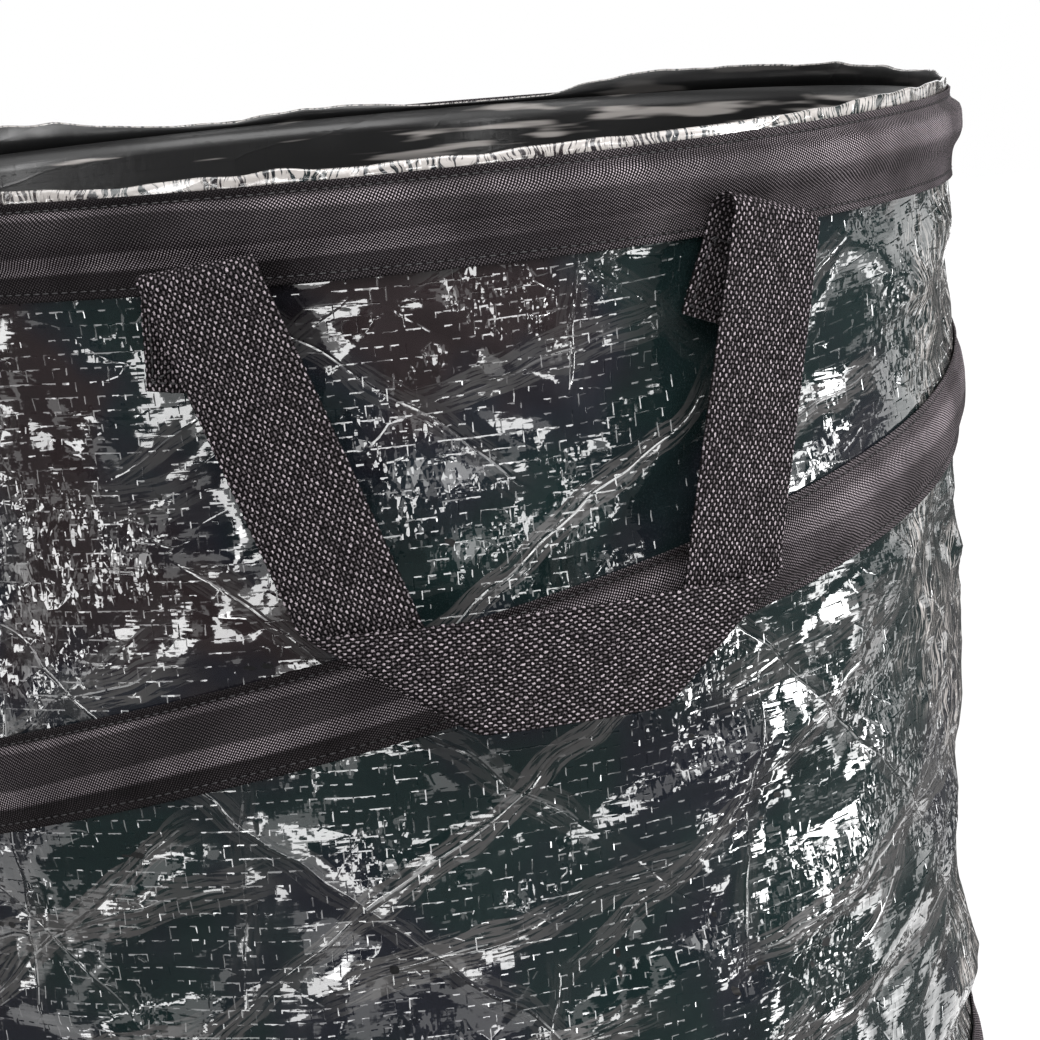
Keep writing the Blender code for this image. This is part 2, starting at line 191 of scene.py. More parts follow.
def tape_top():
    return HEIGHT - sizes().lip_height


def wall_foot():
    """Height of the base tape's top, where the wall starts to fold down."""
    return BASE_TAPE_RISE + sizes().tape_width


def wall_top():
    return tape_top() - TAPE_SEAM


def tape_bottom():
    return tape_top() - sizes().tape_width


def spiral_height(angle):
    return SPIRAL_FRONT_HEIGHT + SPIRAL_PITCH * angle / (2 * pi)


def spiral_angle(height):
    return (height - SPIRAL_FRONT_HEIGHT) * 2 * pi / SPIRAL_PITCH


def spiral_tape_height():
    tilt = atan2(SPIRAL_PITCH, pi * (RIM_RADIUS + BASE_RADIUS))
    return sizes().tape_width / cos(tilt)


def spiral_ends():
    """The angles where the spiral tape starts above the base tape and ends under the rim."""
    width = spiral_tape_height()
    start = spiral_angle(wall_foot() + GAP + width * RIDGE_SHARE)
    end = spiral_angle(tape_bottom() - SPIRAL_END_GAP - width * (1 - RIDGE_SHARE))
    return start, end


def smoothstep(share):
    share = np.clip(share, 0.0, 1.0)
    return share * share * (3 - 2 * share)


def unwrapped(angle):
    """Distance round the bag at its middle height."""
    return angle * (RIM_RADIUS + BASE_RADIUS) / 2


def from_front(angle):
    """The same angles, between half a turn to the left of the front and half a turn to the right."""
    return np.mod(angle + pi, 2 * pi) - pi


def value_noise(x, y, seed, wrap=0):
    """Smooth noise from 0 to 1 at grid size one. It repeats every wrap units of x."""
    def corner(i, j):
        if wrap:
            i = np.mod(i, wrap)
        mixed = np.sin(i * 127.1 + j * 311.7 + seed * 74.7) * 43758.5453
        return mixed - np.floor(mixed)
    i, j = np.floor(x), np.floor(y)
    u, v = x - i, y - j
    u, v = u * u * (3 - 2 * u), v * v * (3 - 2 * v)
    low = corner(i, j) * (1 - u) + corner(i + 1, j) * u
    high = corner(i, j + 1) * (1 - u) + corner(i + 1, j + 1) * u
    return low * (1 - v) + high * v


# Meshes

def new_mesh(name, points, faces, material, uv=None):
    """An object from an array of points and faces, shaded smooth."""
    data = bpy.data.meshes.new(name)
    data.from_pydata(np.asarray(points).tolist(), [], [tuple(map(int, f)) for f in faces])
    if uv is not None:
        layer = data.uv_layers.new(name="surface")
        corners = np.empty(len(data.loops), int)
        data.loops.foreach_get("vertex_index", corners)
        layer.data.foreach_set("uv", np.asarray(uv, float)[corners].ravel())
    data.materials.append(material)
    data.shade_smooth()
    data.update()
    made = bpy.data.objects.new(name, data)
    bpy.context.scene.collection.objects.link(made)
    return made


def grid_faces(rows, columns, wrap_rows=False, wrap_columns=False, first=0):
    """Quads over a grid of points stored row after row."""
    i = np.arange(rows if wrap_rows else rows - 1)
    j = np.arange(columns if wrap_columns else columns - 1)
    i, j = np.meshgrid(i, j, indexing="ij")
    here = i * columns + j
    right = i * columns + (j + 1) % columns
    above = ((i + 1) % rows) * columns + j
    both = ((i + 1) % rows) * columns + (j + 1) % columns
    return np.stack([here, right, both, above], -1).reshape(-1, 4) + first


def grid_normals(points, wrap_columns):
    """Unit normals of a grid of points, row by row, from their neighbours."""
    along = np.gradient(points, axis=0)
    if wrap_columns:
        across = (np.roll(points, -1, 1) - np.roll(points, 1, 1)) / 2
    else:
        across = np.gradient(points, axis=1)
    normal = np.cross(across, along)
    return normal / np.linalg.norm(normal, axis=-1, keepdims=True)


def shell(name, front, back, uv, back_uv, material, wrap_columns=False):
    """A closed skin over two grids of points, front and back.

    Columns run to the right and rows upwards, seen from in front. The back may have fewer rows
    and columns, in the same ratio.
    """
    rows, columns = front.shape[:2]
    fewer_rows, fewer = back.shape[:2]
    step, count = -(-columns // fewer), rows * columns
    faces = grid_faces(rows, columns, wrap_columns=wrap_columns).tolist()
    faces += grid_faces(fewer_rows, fewer, wrap_columns=wrap_columns, first=count)[:, ::-1].tolist()
    top, back_top = (rows - 1) * columns, count + (fewer_rows - 1) * fewer
    for n in range(fewer if wrap_columns else fewer - 1):
        run = [(n * step + k) % columns for k in range(step + 1)]
        ahead = (n + 1) % fewer
        faces.append([*run[::-1], count + n, count + ahead])
        faces.append([*[top + r for r in run], back_top + ahead, back_top + n])
    if not wrap_columns:
        last, back_last = columns - 1, fewer - 1
        for n in range(fewer_rows - 1):
            run = [(n * step + k) * columns for k in range(step + 1)]
            here, above = count + n * fewer, count + (n + 1) * fewer
            faces.append([*run, above, here])
            faces.append([*[r + last for r in run[::-1]], here + back_last, above + back_last])
    points = np.concatenate([front.reshape(-1, 3), back.reshape(-1, 3)])
    flat = np.concatenate([uv.reshape(-1, 2), back_uv.reshape(-1, 2)])
    return new_mesh(name, points, faces, material, flat)


def closed_sheet(name, points, thickness, uv, material, wrap_columns=False, step=1):
    """A sheet of cloth through a grid of points, given thickness behind them.

    The back has every row and column, or every second with a step of 2, and so on.
    """
    back = points - grid_normals(points, wrap_columns) * thickness
    thin = np.s_[::step, ::step]
    return shell(name, points, back[thin], uv, uv[thin], material, wrap_columns)


def placed(piece, body, node=None, folds=False):
    """Hides the solid that a piece stands for, attaches the piece to what it rides on, and gives a folding
    piece its own mesh.
    """
    if node:
        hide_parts(node)
    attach(piece, body)
    if folds:
        folds_down(piece)


def folds_down(piece):
    """Gives a piece of the wall its own mesh; the share of the wall left as the rim comes down is worked out,
    but the piece is not folded.
    """
    travel = next(j for j in frame["joints"] if j["name"] == "collapse")["range_m"][1]
    left = 1 - travel / (wall_top() - wall_foot())
    left * FOLDED_CLEAR
    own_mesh(piece)


# Node trees and materials

class Wire:
    """An output of a node. Arithmetic on wires adds the nodes that work it out."""

    def __init__(self, wiring, socket):
        self.wiring, self.socket = wiring, socket
        self.is_vector = socket.type in ("VECTOR", "RGBA")

    def __getitem__(self, key):
        """Another output of the same node, by its name or number."""
        return Wire(self.wiring, self.socket.node.outputs[key])

    def do(self, operation, *others):
        return self.wiring.work(operation, self, *others)

    def __add__(self, other):
        return self.do("ADD", other)

    def __sub__(self, other):
        return self.do("SUBTRACT", other)

    def __rsub__(self, other):
        return self.wiring.work("SUBTRACT", other, self)

    def __mul__(self, other):
        return self.do("MULTIPLY", other)

    def __truediv__(self, other):
        return self.do("DIVIDE", other)

    def __abs__(self):
        return self.do("ABSOLUTE")


class Wiring:
    """A node tree being wired up."""

    def __init__(self, tree):
        self.tree = tree

    def add(self, kind, settings=None, numbered=(), **named):
        """A new node's first output. Its inputs are given by number, or by name with _ for a space."""
        node = self.tree.nodes.new(kind)
        for key, value in (settings or {}).items():
            setattr(node, key, value)
        for key, value in (*numbered, *named.items()):
            self.set(node, key, value)
        return Wire(self, node.outputs[0]) if node.outputs else None

    def set(self, node, key, value):
        socket = node.inputs[key if isinstance(key, int) else key.replace("_", " ")]
        if isinstance(value, Wire):
            self.tree.links.new(value.socket, socket)
        else:
            socket.default_value = value

    def work(self, operation, *values):
        """One step of arithmetic on wires, numbers and vectors."""
        vectors = [v for v in values if isinstance(v, tuple) or isinstance(v, Wire) and v.is_vector]
        if not vectors:
            return self.add("ShaderNodeMath", {"operation": operation}, enumerate(values))
        if operation == "MULTIPLY" and len(vectors) == 1:
            scale = values[1] if values[0] is vectors[0] else values[0]
            return self.add("ShaderNodeVectorMath", {"operation": "SCALE"}, ((0, vectors[0]),), Scale=scale)
        values = [(v,) * 3 if isinstance(v, (int, float)) else v for v in values]
        made = self.add("ShaderNodeVectorMath", {"operation": operation}, enumerate(values))
        return made["Value"] if operation in ("DOT_PRODUCT", "LENGTH") else made

    def ramp(self, value, low, high, to_low=0.0, to_high=1.0):
        """An even step from to_low to to_high as the value goes from low to high."""
        return self.add("ShaderNodeMapRange", {"interpolation_type": "SMOOTHSTEP"}, Value=value,
                        From_Min=low, From_Max=high, To_Min=to_low, To_Max=to_high)

    def mix(self, share, *colours):
        """One colour turned into another by a share."""
        first, second = (c if isinstance(c, Wire) else (*c, 1.0) for c in colours)
        return self.add("ShaderNodeMix", {"data_type": "RGBA"}, ((0, share), (6, first), (7, second)))[2]

    def noise(self, vector, scale, detail=2.0):
        return self.add("ShaderNodeTexNoise", Vector=vector, Scale=scale, Detail=detail)

    def drift(self, vector, scale, detail=2.0):
        """Smooth random vectors about zero."""
        return self.noise(vector, scale, detail)["Color"] - 0.5

    def join(self, x=0.0, y=0.0, z=0.0):
        return self.add("ShaderNodeCombineXYZ", X=x, Y=y, Z=z)

    def split(self, vector):
        parts = self.add("ShaderNodeSeparateXYZ", Vector=vector)
        return [parts[n] for n in range(3)]


class Look(Wiring):
    """A procedural material being wired up."""

    def __init__(self, name):
        self.material = bpy.data.materials.new(name)
        self.material.use_nodes = True
        super().__init__(self.material.node_tree)
        self.shader = self.tree.nodes["Principled BSDF"]

    def uv(self):
        return self.add("ShaderNodeUVMap", {"uv_map": "surface"})

    def place(self):
        return self.add("ShaderNodeTexCoord")["Object"]

    def cells(self, vector, size, feature):
        """Random cells about this wide and tall."""
        return self.add("ShaderNodeTexVoronoi", {"feature": feature, "voronoi_dimensions": "2D"},
                        Vector=vector * (1 / size[0], 1 / size[1], 0), Scale=1.0, Randomness=1.0)

    def tilts(self, vector, size, most):
        """Random slopes of flat facets about this wide and tall, like crumpled film."""
        return (self.cells(vector, size, "F1")["Color"] - 0.5) * (2 * most)

    def folds(self, vector, size, most, half_width, steep):
        """Slopes of flat facets, with a steep broken ridge along the edge of each."""
        edge = self.cells(vector, size, "DISTANCE_TO_EDGE")["Distance"]
        half_width /= size[1]
        broken = self.ramp(self.noise(vector, 0.8 / size[1], 3.0), 0.52, 0.62)
        near = self.ramp(edge, half_width, 0.4 * half_width) * broken
        return self.tilts(vector, size, 1.0) * (near * steep + most)

    def ridges(self, vector, heading, spacing, crest, flank):
        """Slopes beside long creases at this heading, and a band of painted grey sheen along each.

        The narrow crest and the wide flanks are each given by a half width and a slope.
        """
        turned = self.add("ShaderNodeMapping", Vector=vector, Rotation=(0, 0, -heading))
        along, across, _ = self.split(turned * (7.0, 1 / spacing, 0))
        line = across.do("FLOOR")
        shift, sign, _ = self.split(self.random(self.join(line, heading)))
        side = across.do("FRACT") - (shift * 0.5 + 0.25)
        apart = abs(side) * spacing
        there = self.ramp(self.noise(self.join(along, line * 5.7), 1.0, 1.0), 0.46, 0.54)
        steep = (self.ramp(apart, crest[0], 0.3 * crest[0], 0.0, crest[1])
                 + self.ramp(apart, flank[0], 0.7 * flank[0], 0.0, flank[1]))
        steep = steep * there * side.do("SIGN") * (sign - 0.3).do("SIGN")
        grain = self.noise(turned * (90, 900, 0), 1.0)
        wander = self.noise(turned * (22, 60, 0), 1.0)
        # the band where the grey sheen is painted, with streaked ragged edges
        edge = (grain + wander) * -0.5 + apart / flank[0]
        painted_sheen_mask = self.ramp(edge, 0.02, -0.06) * there * self.ramp(grain, 0.42, 0.50, 0.10, 1.0)
        return steep * (-sin(heading), cos(heading), 0), painted_sheen_mask

    def random(self, cell):
        return self.add("ShaderNodeTexWhiteNoise", {"noise_dimensions": "2D"}, Vector=cell)["Color"]

    def sloped(self, slope):
        """A normal leaning by the x and y of slope, along and across the piece's own map."""
        x, y, _ = self.split(slope)
        colour = self.join(x, y, 1.0).do("NORMALIZE") * 0.5 + 0.5
        return self.add("ShaderNodeNormalMap", {"uv_map": "surface"}, Color=colour)

    def bump(self, height):
        return self.add("ShaderNodeBump", Height=height, Distance=1.0, Strength=1.0)

    def finish(self, **values):
        for key, value in values.items():
            self.set(self.shader, key, value)
        return self.material


def tinted(colour, share):
    return tuple(c * share for c in colour)


def film_cloth(name, crumple=1.0, roughness=0.07, weave=1.0, plain=None, pale=0.0):
    """Glossy laminated sheet, woven from flat tapes, crumpled and nearly black green.

    plain is the colour of a duller side, and pale paints the whitish crinkle highlight over the whole film.
    """
    look = Look(name)
    uv, place = look.uv(), look.place()
    aside, _, level = look.split(place)
    # the woven rows drift a little and rise towards the right
    drift = look.drift(uv, 30.0, 1.0)
    rising = look.join(y=aside.do("MAXIMUM", 0.0).do("POWER", 2.0) * -0.55)
    wide, tall = sizes().sheet_tape, sizes().sheet_tape * 2
    woven = (uv + rising + drift * 0.0016) * (1 / wide, 1 / tall, 0)
    cell = woven.do("FLOOR")
    x, y, _ = look.split(woven.do("FRACTION"))
    i, j, _ = look.split(cell)
    crossing = (i + j).do("FLOORED_MODULO", 2.0)
    chance = look.random(cell)
    one, two, three = look.split(chance)
    run = look.split(look.random((cell * (0.21, 1, 0)).do("FLOOR")))[0]
    worn = (look.noise(uv, 520.0) - 0.5) * 0.30
    # the steps where one flat tape dives under the next: along its top edge and at its side
    joined = crossing.do("MAXIMUM", run.do("GREATER_THAN", 0.55))
    ledge = look.ramp(y + worn, 0.885, 0.915) * joined * one.do("GREATER_THAN", 0.32)
    side = look.ramp(x + worn, 0.80, 0.86) * two.do("GREATER_THAN", 0.55)
    side = side * y.do("GREATER_THAN", three * 0.75) * (1.0 - crossing)
    edges = look.join(side * (three * 1.4 - 0.70),
                      ledge.do("MAXIMUM", side * 0.7) * (three * 0.75 + 0.38))
    lit = look.ramp(look.noise(uv, 24.0), 0.30, 0.50, 0.45 * weave, weave)
    # creases and facets, long to tiny
    rough = look.ramp(look.noise(uv, 15.0), 0.50, 0.60, 0.06, 1.0)
    bent = uv + drift * 0.012
    slope, painted_sheen_mask = look.ridges(bent, radians(14), 0.044, (0.0011, 0.40), (0.013, 0.11))
    for heading, spacing, share in ((34, 0.062, 0.9), (-40, 0.078, 0.35), (84, 0.090, 0.20)):
        more, sheen_painted = look.ridges(bent, radians(heading), spacing, (0.0010, 0.38), (0.010, 0.10))
        slope, painted_sheen_mask = slope + more, painted_sheen_mask.do("MAXIMUM", sheen_painted * share)
    loose = rough * (1.0 - painted_sheen_mask)
    slope += look.folds(bent, (0.019, 0.010), 0.095, 0.0006, 0.45) * (rough * 0.7 + 0.3)
    slope += look.tilts(bent, (0.0032, 0.0060), 0.15) * loose
    slope += look.tilts(uv, (0.0010, 0.0030), 0.11) * loose
    slope += look.tilts(uv, (0.0095, 0.0008), 0.026) + (chance - 0.5) * 0.030
    flat = (1.0 - ledge.do("MAXIMUM", side)) * crumple
    normal = look.sloped(slope * flat + edges * lit)
    tint = look.noise(uv, 11.0, 3.0) - 0.5
    if plain is None:
        to_right = place.do("DOT_PRODUCT", (2.2, 0, -0.6)) + tint * 5.0
        upward = place.do("DOT_PRODUCT", (-2.6, 0, 2.4)) + tint * -4.0
        colour = look.mix(look.ramp(to_right, -0.70, 0.05), looks().film_dark, looks().film_green)
        colour = look.mix(look.ramp(upward, 1.30, 1.75), colour, looks().film_warm)
        # the grey sheen painted along the creases, standing in for a reflection
        colour = look.mix(painted_sheen_mask * crumple, colour, looks().film_painted_sheen)
        # a whitish reflection painted in fine upright crinkle streaks, most of all where the film turns away
        # on the right
        side_on = place.do("DOT_PRODUCT", (0.91, -0.41, -0.045))
        patch = (look.noise(uv, 13.0, 3.0) - 0.5) * 0.11 + side_on
        patch = look.ramp(patch, 0.191, 0.205).do("MAXIMUM", pale)
        wavy = (uv + look.drift(uv, 60.0) * 0.012) * (860, 95, 0)
        painted_highlight = look.ramp(look.noise(wavy, 1.0) + pale * 0.07, 0.50, 0.58) * patch
        coat, specular = 1.0, 0.5
    else:
        colour = look.mix(look.ramp(tint, -0.2, 0.2), tinted(plain, 0.75), tinted(plain, 1.3))
        # soft glints painted as highlights in a band under the mouth
        band = look.ramp(abs(level - (HEIGHT - 0.018)), 0.013, 0.005, 0.1, 1.0)
        glint = look.noise(place * (17, 17, 210), 1.0)
        painted_highlight = look.ramp(aside * 0.42 + glint, 0.62, 0.74) * band
        coat, specular = 0.25, 0.2
    # the painted highlight mixed into the film's colour
    colour = look.mix(painted_highlight, colour, looks().film_painted_highlight)
    return look.finish(Base_Color=colour, Roughness=roughness, IOR=1.5, Normal=normal,
                       Coat_Weight=coat, Coat_Roughness=roughness * 0.6, Coat_IOR=1.5,
                       Coat_Normal=normal, Specular_IOR_Level=specular)


def twill_tape(name):
    """Fine twill binding tape: bright floats in rising lines on a dark ground."""
    look = Look(name)
    uv = look.uv()
    pitch = 0.00088
    x, y, _ = look.split((uv + look.drift(uv, 110.0) * 0.0009) * (2 * pi / pitch))
    line, along = x * 0.86 - y * 0.62, x * 0.50 + y * 0.92
    floats = look.ramp(line.do("COSINE") + along.do("COSINE") * 0.75, 0.25, 1.2)
    slope = look.join(line.do("SINE") * 0.45, along.do("SINE") * 0.30)
    normal = look.sloped(slope + look.drift(uv, 60.0, 3.0) * 0.60)
    # bands of painted light and shade across the tape: a painted highlight along a crest that moves
    # and widens to the right, another along a lower roll on the left, the body painted brighter
    # towards the lamp on the right, dark margins painted as shade and a painted shade in the
    # groove at each line of stitches
    right = look.ramp(look.split(look.place())[0], -0.13, 0.15)
    left = 1.0 - right
    share = look.split(uv)[1] / sizes().tape_width
    swayed = (look.noise(uv, 14.0, 1.0) - 0.5) * 0.12 + share
    crest = abs(swayed - (right * -0.21 + 0.865)) / (right * 0.11 + 0.055)
    roll = look.ramp(abs(swayed - 0.37), 0.115, 0.07) * left
    painted_light = look.ramp(crest, 1.0, 0.35).do("MAXIMUM", roll) * 1.35 + (right * 0.85 + 0.62)
    # the margins painted dark as shade on the left
    dark = look.ramp(share, 0.90, 0.94).do("MAXIMUM", look.ramp(share, 0.29, 0.24))
    inward = share.do("MINIMUM", 1.0 - share)
    # a painted shade in the groove at each line of stitches
    seam = look.ramp(abs(inward - STITCH_MARGIN), 0.020, 0.009, 1.0, 0.22)
    painted_light = painted_light * (1.0 - dark * (left * 0.6)) * seam
    tone_and_painted_light = look.ramp(look.noise(uv, 26.0, 3.0), 0.36, 0.66, 2.3, 5.0) * painted_light
    colour = look.mix(floats, tinted(looks().tape, 0.14), tone_and_painted_light * tuple(looks().tape))
    return look.finish(Base_Color=colour, Roughness=0.60, Specular_IOR_Level=0.03, Normal=normal)


def webbing_cloth(name):
    """Chunky basket-weave webbing: yarn crowns painted bright as highlights on a ground painted dark as
    shade.
    """
    look = Look(name)
    uv = look.uv()
    laid = (uv + look.drift(uv, 170.0) * 0.0018) * (1 / sizes().pick_pitch, 1 / sizes().yarn_pitch, 0)
    cell = laid.do("FLOOR")
    i, j, _ = look.split(cell)
    over = (i + j).do("FLOORED_MODULO", 2.0)
    from_middle = laid.do("FRACTION") - (0.5, 0.5, 0)
    shine, skew, _ = look.split(look.random(cell))
    fray = (look.noise(uv, 1900.0, 1.0) - 0.5) * 0.95
    spread = (from_middle * (0.95, 1.25, 0)).do("LENGTH") + fray
    # the light on the crowns and the shade between the yarns are painted into the colour
    crown, under = look.ramp(spread, 0.52, 0.20), look.ramp(spread, 0.38, 0.10, 0.0, 0.10)
    high = (over * (crown - under) + under) * (shine * 0.78 + 0.22)
    normal = look.sloped(from_middle * (1.3, 1.9, 0) + look.join((skew - 0.5) * 0.45))
    colour = look.mix(high, tinted(looks().webbing, 0.07), tinted(looks().webbing, 6.6))
    return look.finish(Base_Color=colour, Roughness=0.55, Specular_IOR_Level=0.03, Normal=normal)


def thread_cloth(name):
    look = Look(name)
    ply = look.noise(look.place(), 2500.0, 1.0)
    colour = look.mix(ply, tinted(looks().thread, 0.6), tinted(looks().thread, 1.5))
    return look.finish(Base_Color=colour, Roughness=0.55, Normal=look.bump(ply * 0.0002))


def metal(name, colour, roughness):
    look = Look(name)
    drawn = look.noise(look.place() * 900.0, 1.0, 3.0)
    shade = look.mix(drawn, tinted(colour, 0.75), colour)
    return look.finish(Base_Color=shade, Metallic=1.0, Roughness=roughness,
                       Normal=look.bump(drawn * 0.00004))


def hook_tape(name, tufts_a_metre):
    look = Look(name)
    tufts = look.add("ShaderNodeTexVoronoi", {"feature": "F1"}, Vector=look.place(), Scale=tufts_a_metre)
    colour = look.mix(tufts, tinted(looks().hook, 1.8), tinted(looks().hook, 0.5))
    return look.finish(Base_Color=colour, Roughness=0.8, Normal=look.bump(tufts * -0.0004),
                       Sheen_Weight=0.3)


# The wall and its creases

WALL_COLUMNS = 450
WALL_ROWS = 157
WALL_BOTTOM = 0.0006
# creases stay flat this near a tape, and no crease goes further in or out than these
CREASE_CLEARANCE = 0.014
DRAW_REACH = 0.025
SLACK = 0.004
FURTHEST_IN, FURTHEST_OUT = -0.0085, 0.0075


def band_distance(angle, z):
    """Distance up or down from a point of the wall to the nearest tape's edge."""
    half = spiral_tape_height() / 2
    start, end = spiral_ends()
    nearest = np.minimum(tape_bottom() - z, z - wall_foot())
    for turn in range(-2, 2):
        around = angle + turn * 2 * pi
        middle = spiral_height(around) - spiral_tape_height() * (RIDGE_SHARE - 0.5)
        there = np.abs(z - middle) - half
        inside = (around > start - 0.05) & (around < end + 0.05)
        nearest = np.where(inside, np.minimum(nearest, there), nearest)
    return nearest


def tent(x):
    return np.maximum(0.0, 1 - np.abs(x))


def facets(angle, z, around, climb, seed):
    """Flat triangular facets with sharp ridges between them, as heights from -1 to 1.

    around facets fit round the bag. In one turn their rows climb by that many rows, so rows
    that climb as the spiral does run along it.
    """
    tall = SPIRAL_PITCH / abs(climb)
    x = angle / (2 * pi) * around
    y = (z + (HEIGHT if climb < 0 else 0)) / tall - climb * angle / (2 * pi)
    bend = value_noise(x * 0.5, y * 0.5, seed + 1, around / 2) - 0.5
    y = y + bend * 0.7

    def corner(i, j):
        turns = np.floor(i / around)
        place = (i - around * turns) * 127.1 + (j + climb * turns) * 311.7
        mixed = np.sin(place + seed * 17.3) * 43758.5453
        return (mixed - np.floor(mixed)) * 2 - 1
    i, j = np.floor(x), np.floor(y)
    u, v = x - i, y - j
    low = corner(i, j) * (1 - u) + corner(i + 1, j) * (u - v) + corner(i + 1, j + 1) * v
    high = corner(i, j) * (1 - v) + corner(i, j + 1) * (v - u) + corner(i + 1, j + 1) * u
    return np.where(u > v, low, high)


def creases(angle, z, seed):
    """Long sharp creases of random place, length and slope, as one height field."""
    random = np.random.default_rng(seed)
    u, around = unwrapped(angle), unwrapped(2 * pi)
    height = np.zeros_like(u)
    families = (
        # count, least and most length, width share, slope of the crease, its spread, height
        (46, 0.16, 0.34, 0.055, 0.24, 0.10, 0.85),
        (44, 0.09, 0.22, 0.090, 0.62, 0.22, 0.60),
        (30, 0.09, 0.20, 0.090, -0.62, 0.22, 0.60),
        (30, 0.06, 0.16, 0.110, 1.50, 0.16, 0.50),
    )
    for count, least, most, width, slope, spread, tall in families:
        for _ in range(count):
            cu, cz = random.uniform(0, around), random.uniform(0.0, HEIGHT)
            length = random.uniform(least, most)
            turn = slope + random.uniform(-spread, spread)
            sign = 1 if random.random() < 0.6 else -1
            skew = random.uniform(-0.5, 0.5)
            du = np.mod(u - cu + around / 2, around) - around / 2
            dz = z - cz
            near = (np.abs(du) < length) & (np.abs(dz) < length)
            if not near.any():
                continue
            height[near] += sign * tall * one_fold(du[near], dz[near], turn, length, length * width, skew)
    return height


def crumpled(angle, z):
    """How far the wall's cloth lies out of its smooth shape."""
    rough = smoothstep((value_noise(angle * 20 / (2 * pi), z * 22, 41, 20) - 0.35) / 0.3)
    fine = facets(angle, z, 150, 30, 5) * 0.08 + facets(angle, z, 110, -26, 6) * 0.09
    return (facets(angle, z, 20, 6, 1) * 0.62 + facets(angle, z, 46, 12, 2) * 0.30
            + facets(angle, z, 64, -16, 3) * 0.16 + fine * (0.25 + rough)
            + creases(angle, z, 7) * 0.50 + folded(angle, z)) * sizes().crease_depth


# Folds that stand out: degrees from the front, height, length, heading, half width, stand
FOLDS = (
    (23.6, 0.349, 0.170, 16, 0.008, 0.55), (38, 0.333, 0.090, 25, 0.007, 0.50),
    (31, 0.290, 0.150, 36, 0.012, 0.75), (44.6, 0.270, 0.120, 29, 0.010, 0.65),
    (7.6, 0.285, 0.090, 82, 0.008, -0.45), (14.4, 0.369, 0.070, 50, 0.008, 0.45),
    (-37.3, 0.473, 0.085, -39, 0.006, -0.40), (-3.6, 0.505, 0.060, -43, 0.006, 0.40),
    (4.3, 0.479, 0.060, -38, 0.006, 0.40), (-35.7, 0.337, 0.160, 17, 0.011, -0.55),
    (-12, 0.306, 0.110, 28, 0.008, 0.45), (-46.5, 0.277, 0.080, -11, 0.008, 0.45),
    (48.6, 0.490, 0.130, 16, 0.008, 0.55), (47, 0.491, 0.100, -29, 0.007, 0.45),
    (-15, 0.301, 0.080, 56, 0.007, 0.40), (22, 0.275, 0.110, 31, 0.009, -0.50),
    (10.7, 0.443, 0.080, 36, 0.007, 0.45), (62, 0.300, 0.140, 60, 0.012, 0.80),
    (66, 0.385, 0.100, -50, 0.010, 0.70), (71, 0.226, 0.150, 6, 0.015, 1.60),
)


def one_fold(across, up, heading, length, half, skew=0.0):
    """Height of one sharp fold, from distances across and up from its middle."""
    a = (across * cos(heading) + up * sin(heading)) / (length / 2)
    b = (up * cos(heading) - across * sin(heading)) / half - skew * tent(a)
    b = np.where(b > 0, b * 0.5, b)
    return tent(a) ** 0.7 * tent(b)


def folded(angle, z):
    """The folds that stand out, as one height field."""
    height = 0 * angle
    for turn, middle, length, heading, half, stand in FOLDS:
        across = unwrapped(from_front(angle - radians(turn)))
        height = height + stand * one_fold(across, z - middle, radians(heading), length, half)
    return height


class BAG_OT_wall(bpy.types.Operator):
    """Makes the crumpled sheet wall"""

    bl_idname = "bag.wall"
    bl_label = "Wall"

    def execute(self, context):
        angle = np.linspace(0, 2 * pi, WALL_COLUMNS, endpoint=False)
        rows = np.linspace(WALL_BOTTOM, wall_top(), WALL_ROWS)
        split = int(np.searchsorted(rows, wall_foot()))
        outer = film_cloth("sheet_film")
        inner = film_cloth("sheet_film_inside", 0.10, 0.38, 0.05, looks().film_inside)
        # the foot stays behind the base tape when the rest folds down
        foot = self.band("wall_foot", angle, rows[:split + 1], outer, inner)
        wall = self.band("wall_cloth", angle, rows[split:], outer, inner)
        placed(foot, "base")
        placed(wall, "base", "wall_panel", folds=True)
        wall_top() - rows[split]
        return {"FINISHED"}

    def band(self, name, angle, rows, outer, inner):
        """A band of crumpled cloth round the bag, with rows at these heights."""
        angle, z = np.meshgrid(angle, rows)
        apart = band_distance(angle, z)
        clear = smoothstep(apart / CREASE_CLEARANCE)
        slack = value_noise(angle * 14 / (2 * pi), z * 14, 3, 14) - 0.5
        drawn = sizes().wall_draw * (1 - np.exp(-np.maximum(apart, 0) / DRAW_REACH))
        out = (crumpled(angle, z) + slack * SLACK) * clear - drawn
        points = on_wall(angle, np.clip(out, FURTHEST_IN, FURTHEST_OUT), z)
        uv = np.stack([unwrapped(from_front(angle)), z], -1)
        made = closed_sheet(name, points, SHEET, uv, outer, wrap_columns=True, step=2)
        made.data.materials.append(inner)
        faces = (len(rows) - 1) * WALL_COLUMNS
        slots = np.zeros(len(made.data.polygons), np.int32)
        slots[faces:faces + faces // 4] = 1
        made.data.polygons.foreach_set("material_index", slots)
        meet_behind(made.data)
        return made


def meet_behind(mesh):
    """Mends the texture map of the faces that it would otherwise run back across, at the back."""
    layer = mesh.uv_layers["surface"]
    values = np.empty(len(mesh.loops) * 2)
    layer.data.foreach_get("uv", values)
    values = values.reshape(-1, 2)
    corners = np.empty(len(mesh.polygons), int)
    mesh.polygons.foreach_get("loop_total", corners)
    first = np.concatenate([[0], np.cumsum(corners)[:-1]])
    along = values[:, 0]
    over = np.maximum.reduceat(along, first) - np.minimum.reduceat(along, first) > unwrapped(pi)
    along += np.where(np.repeat(over, corners) & (along < 0), unwrapped(2 * pi), 0)
    layer.data.foreach_set("uv", values.ravel())


# What Geometry Nodes make: tapes, stitches and the spiral wire

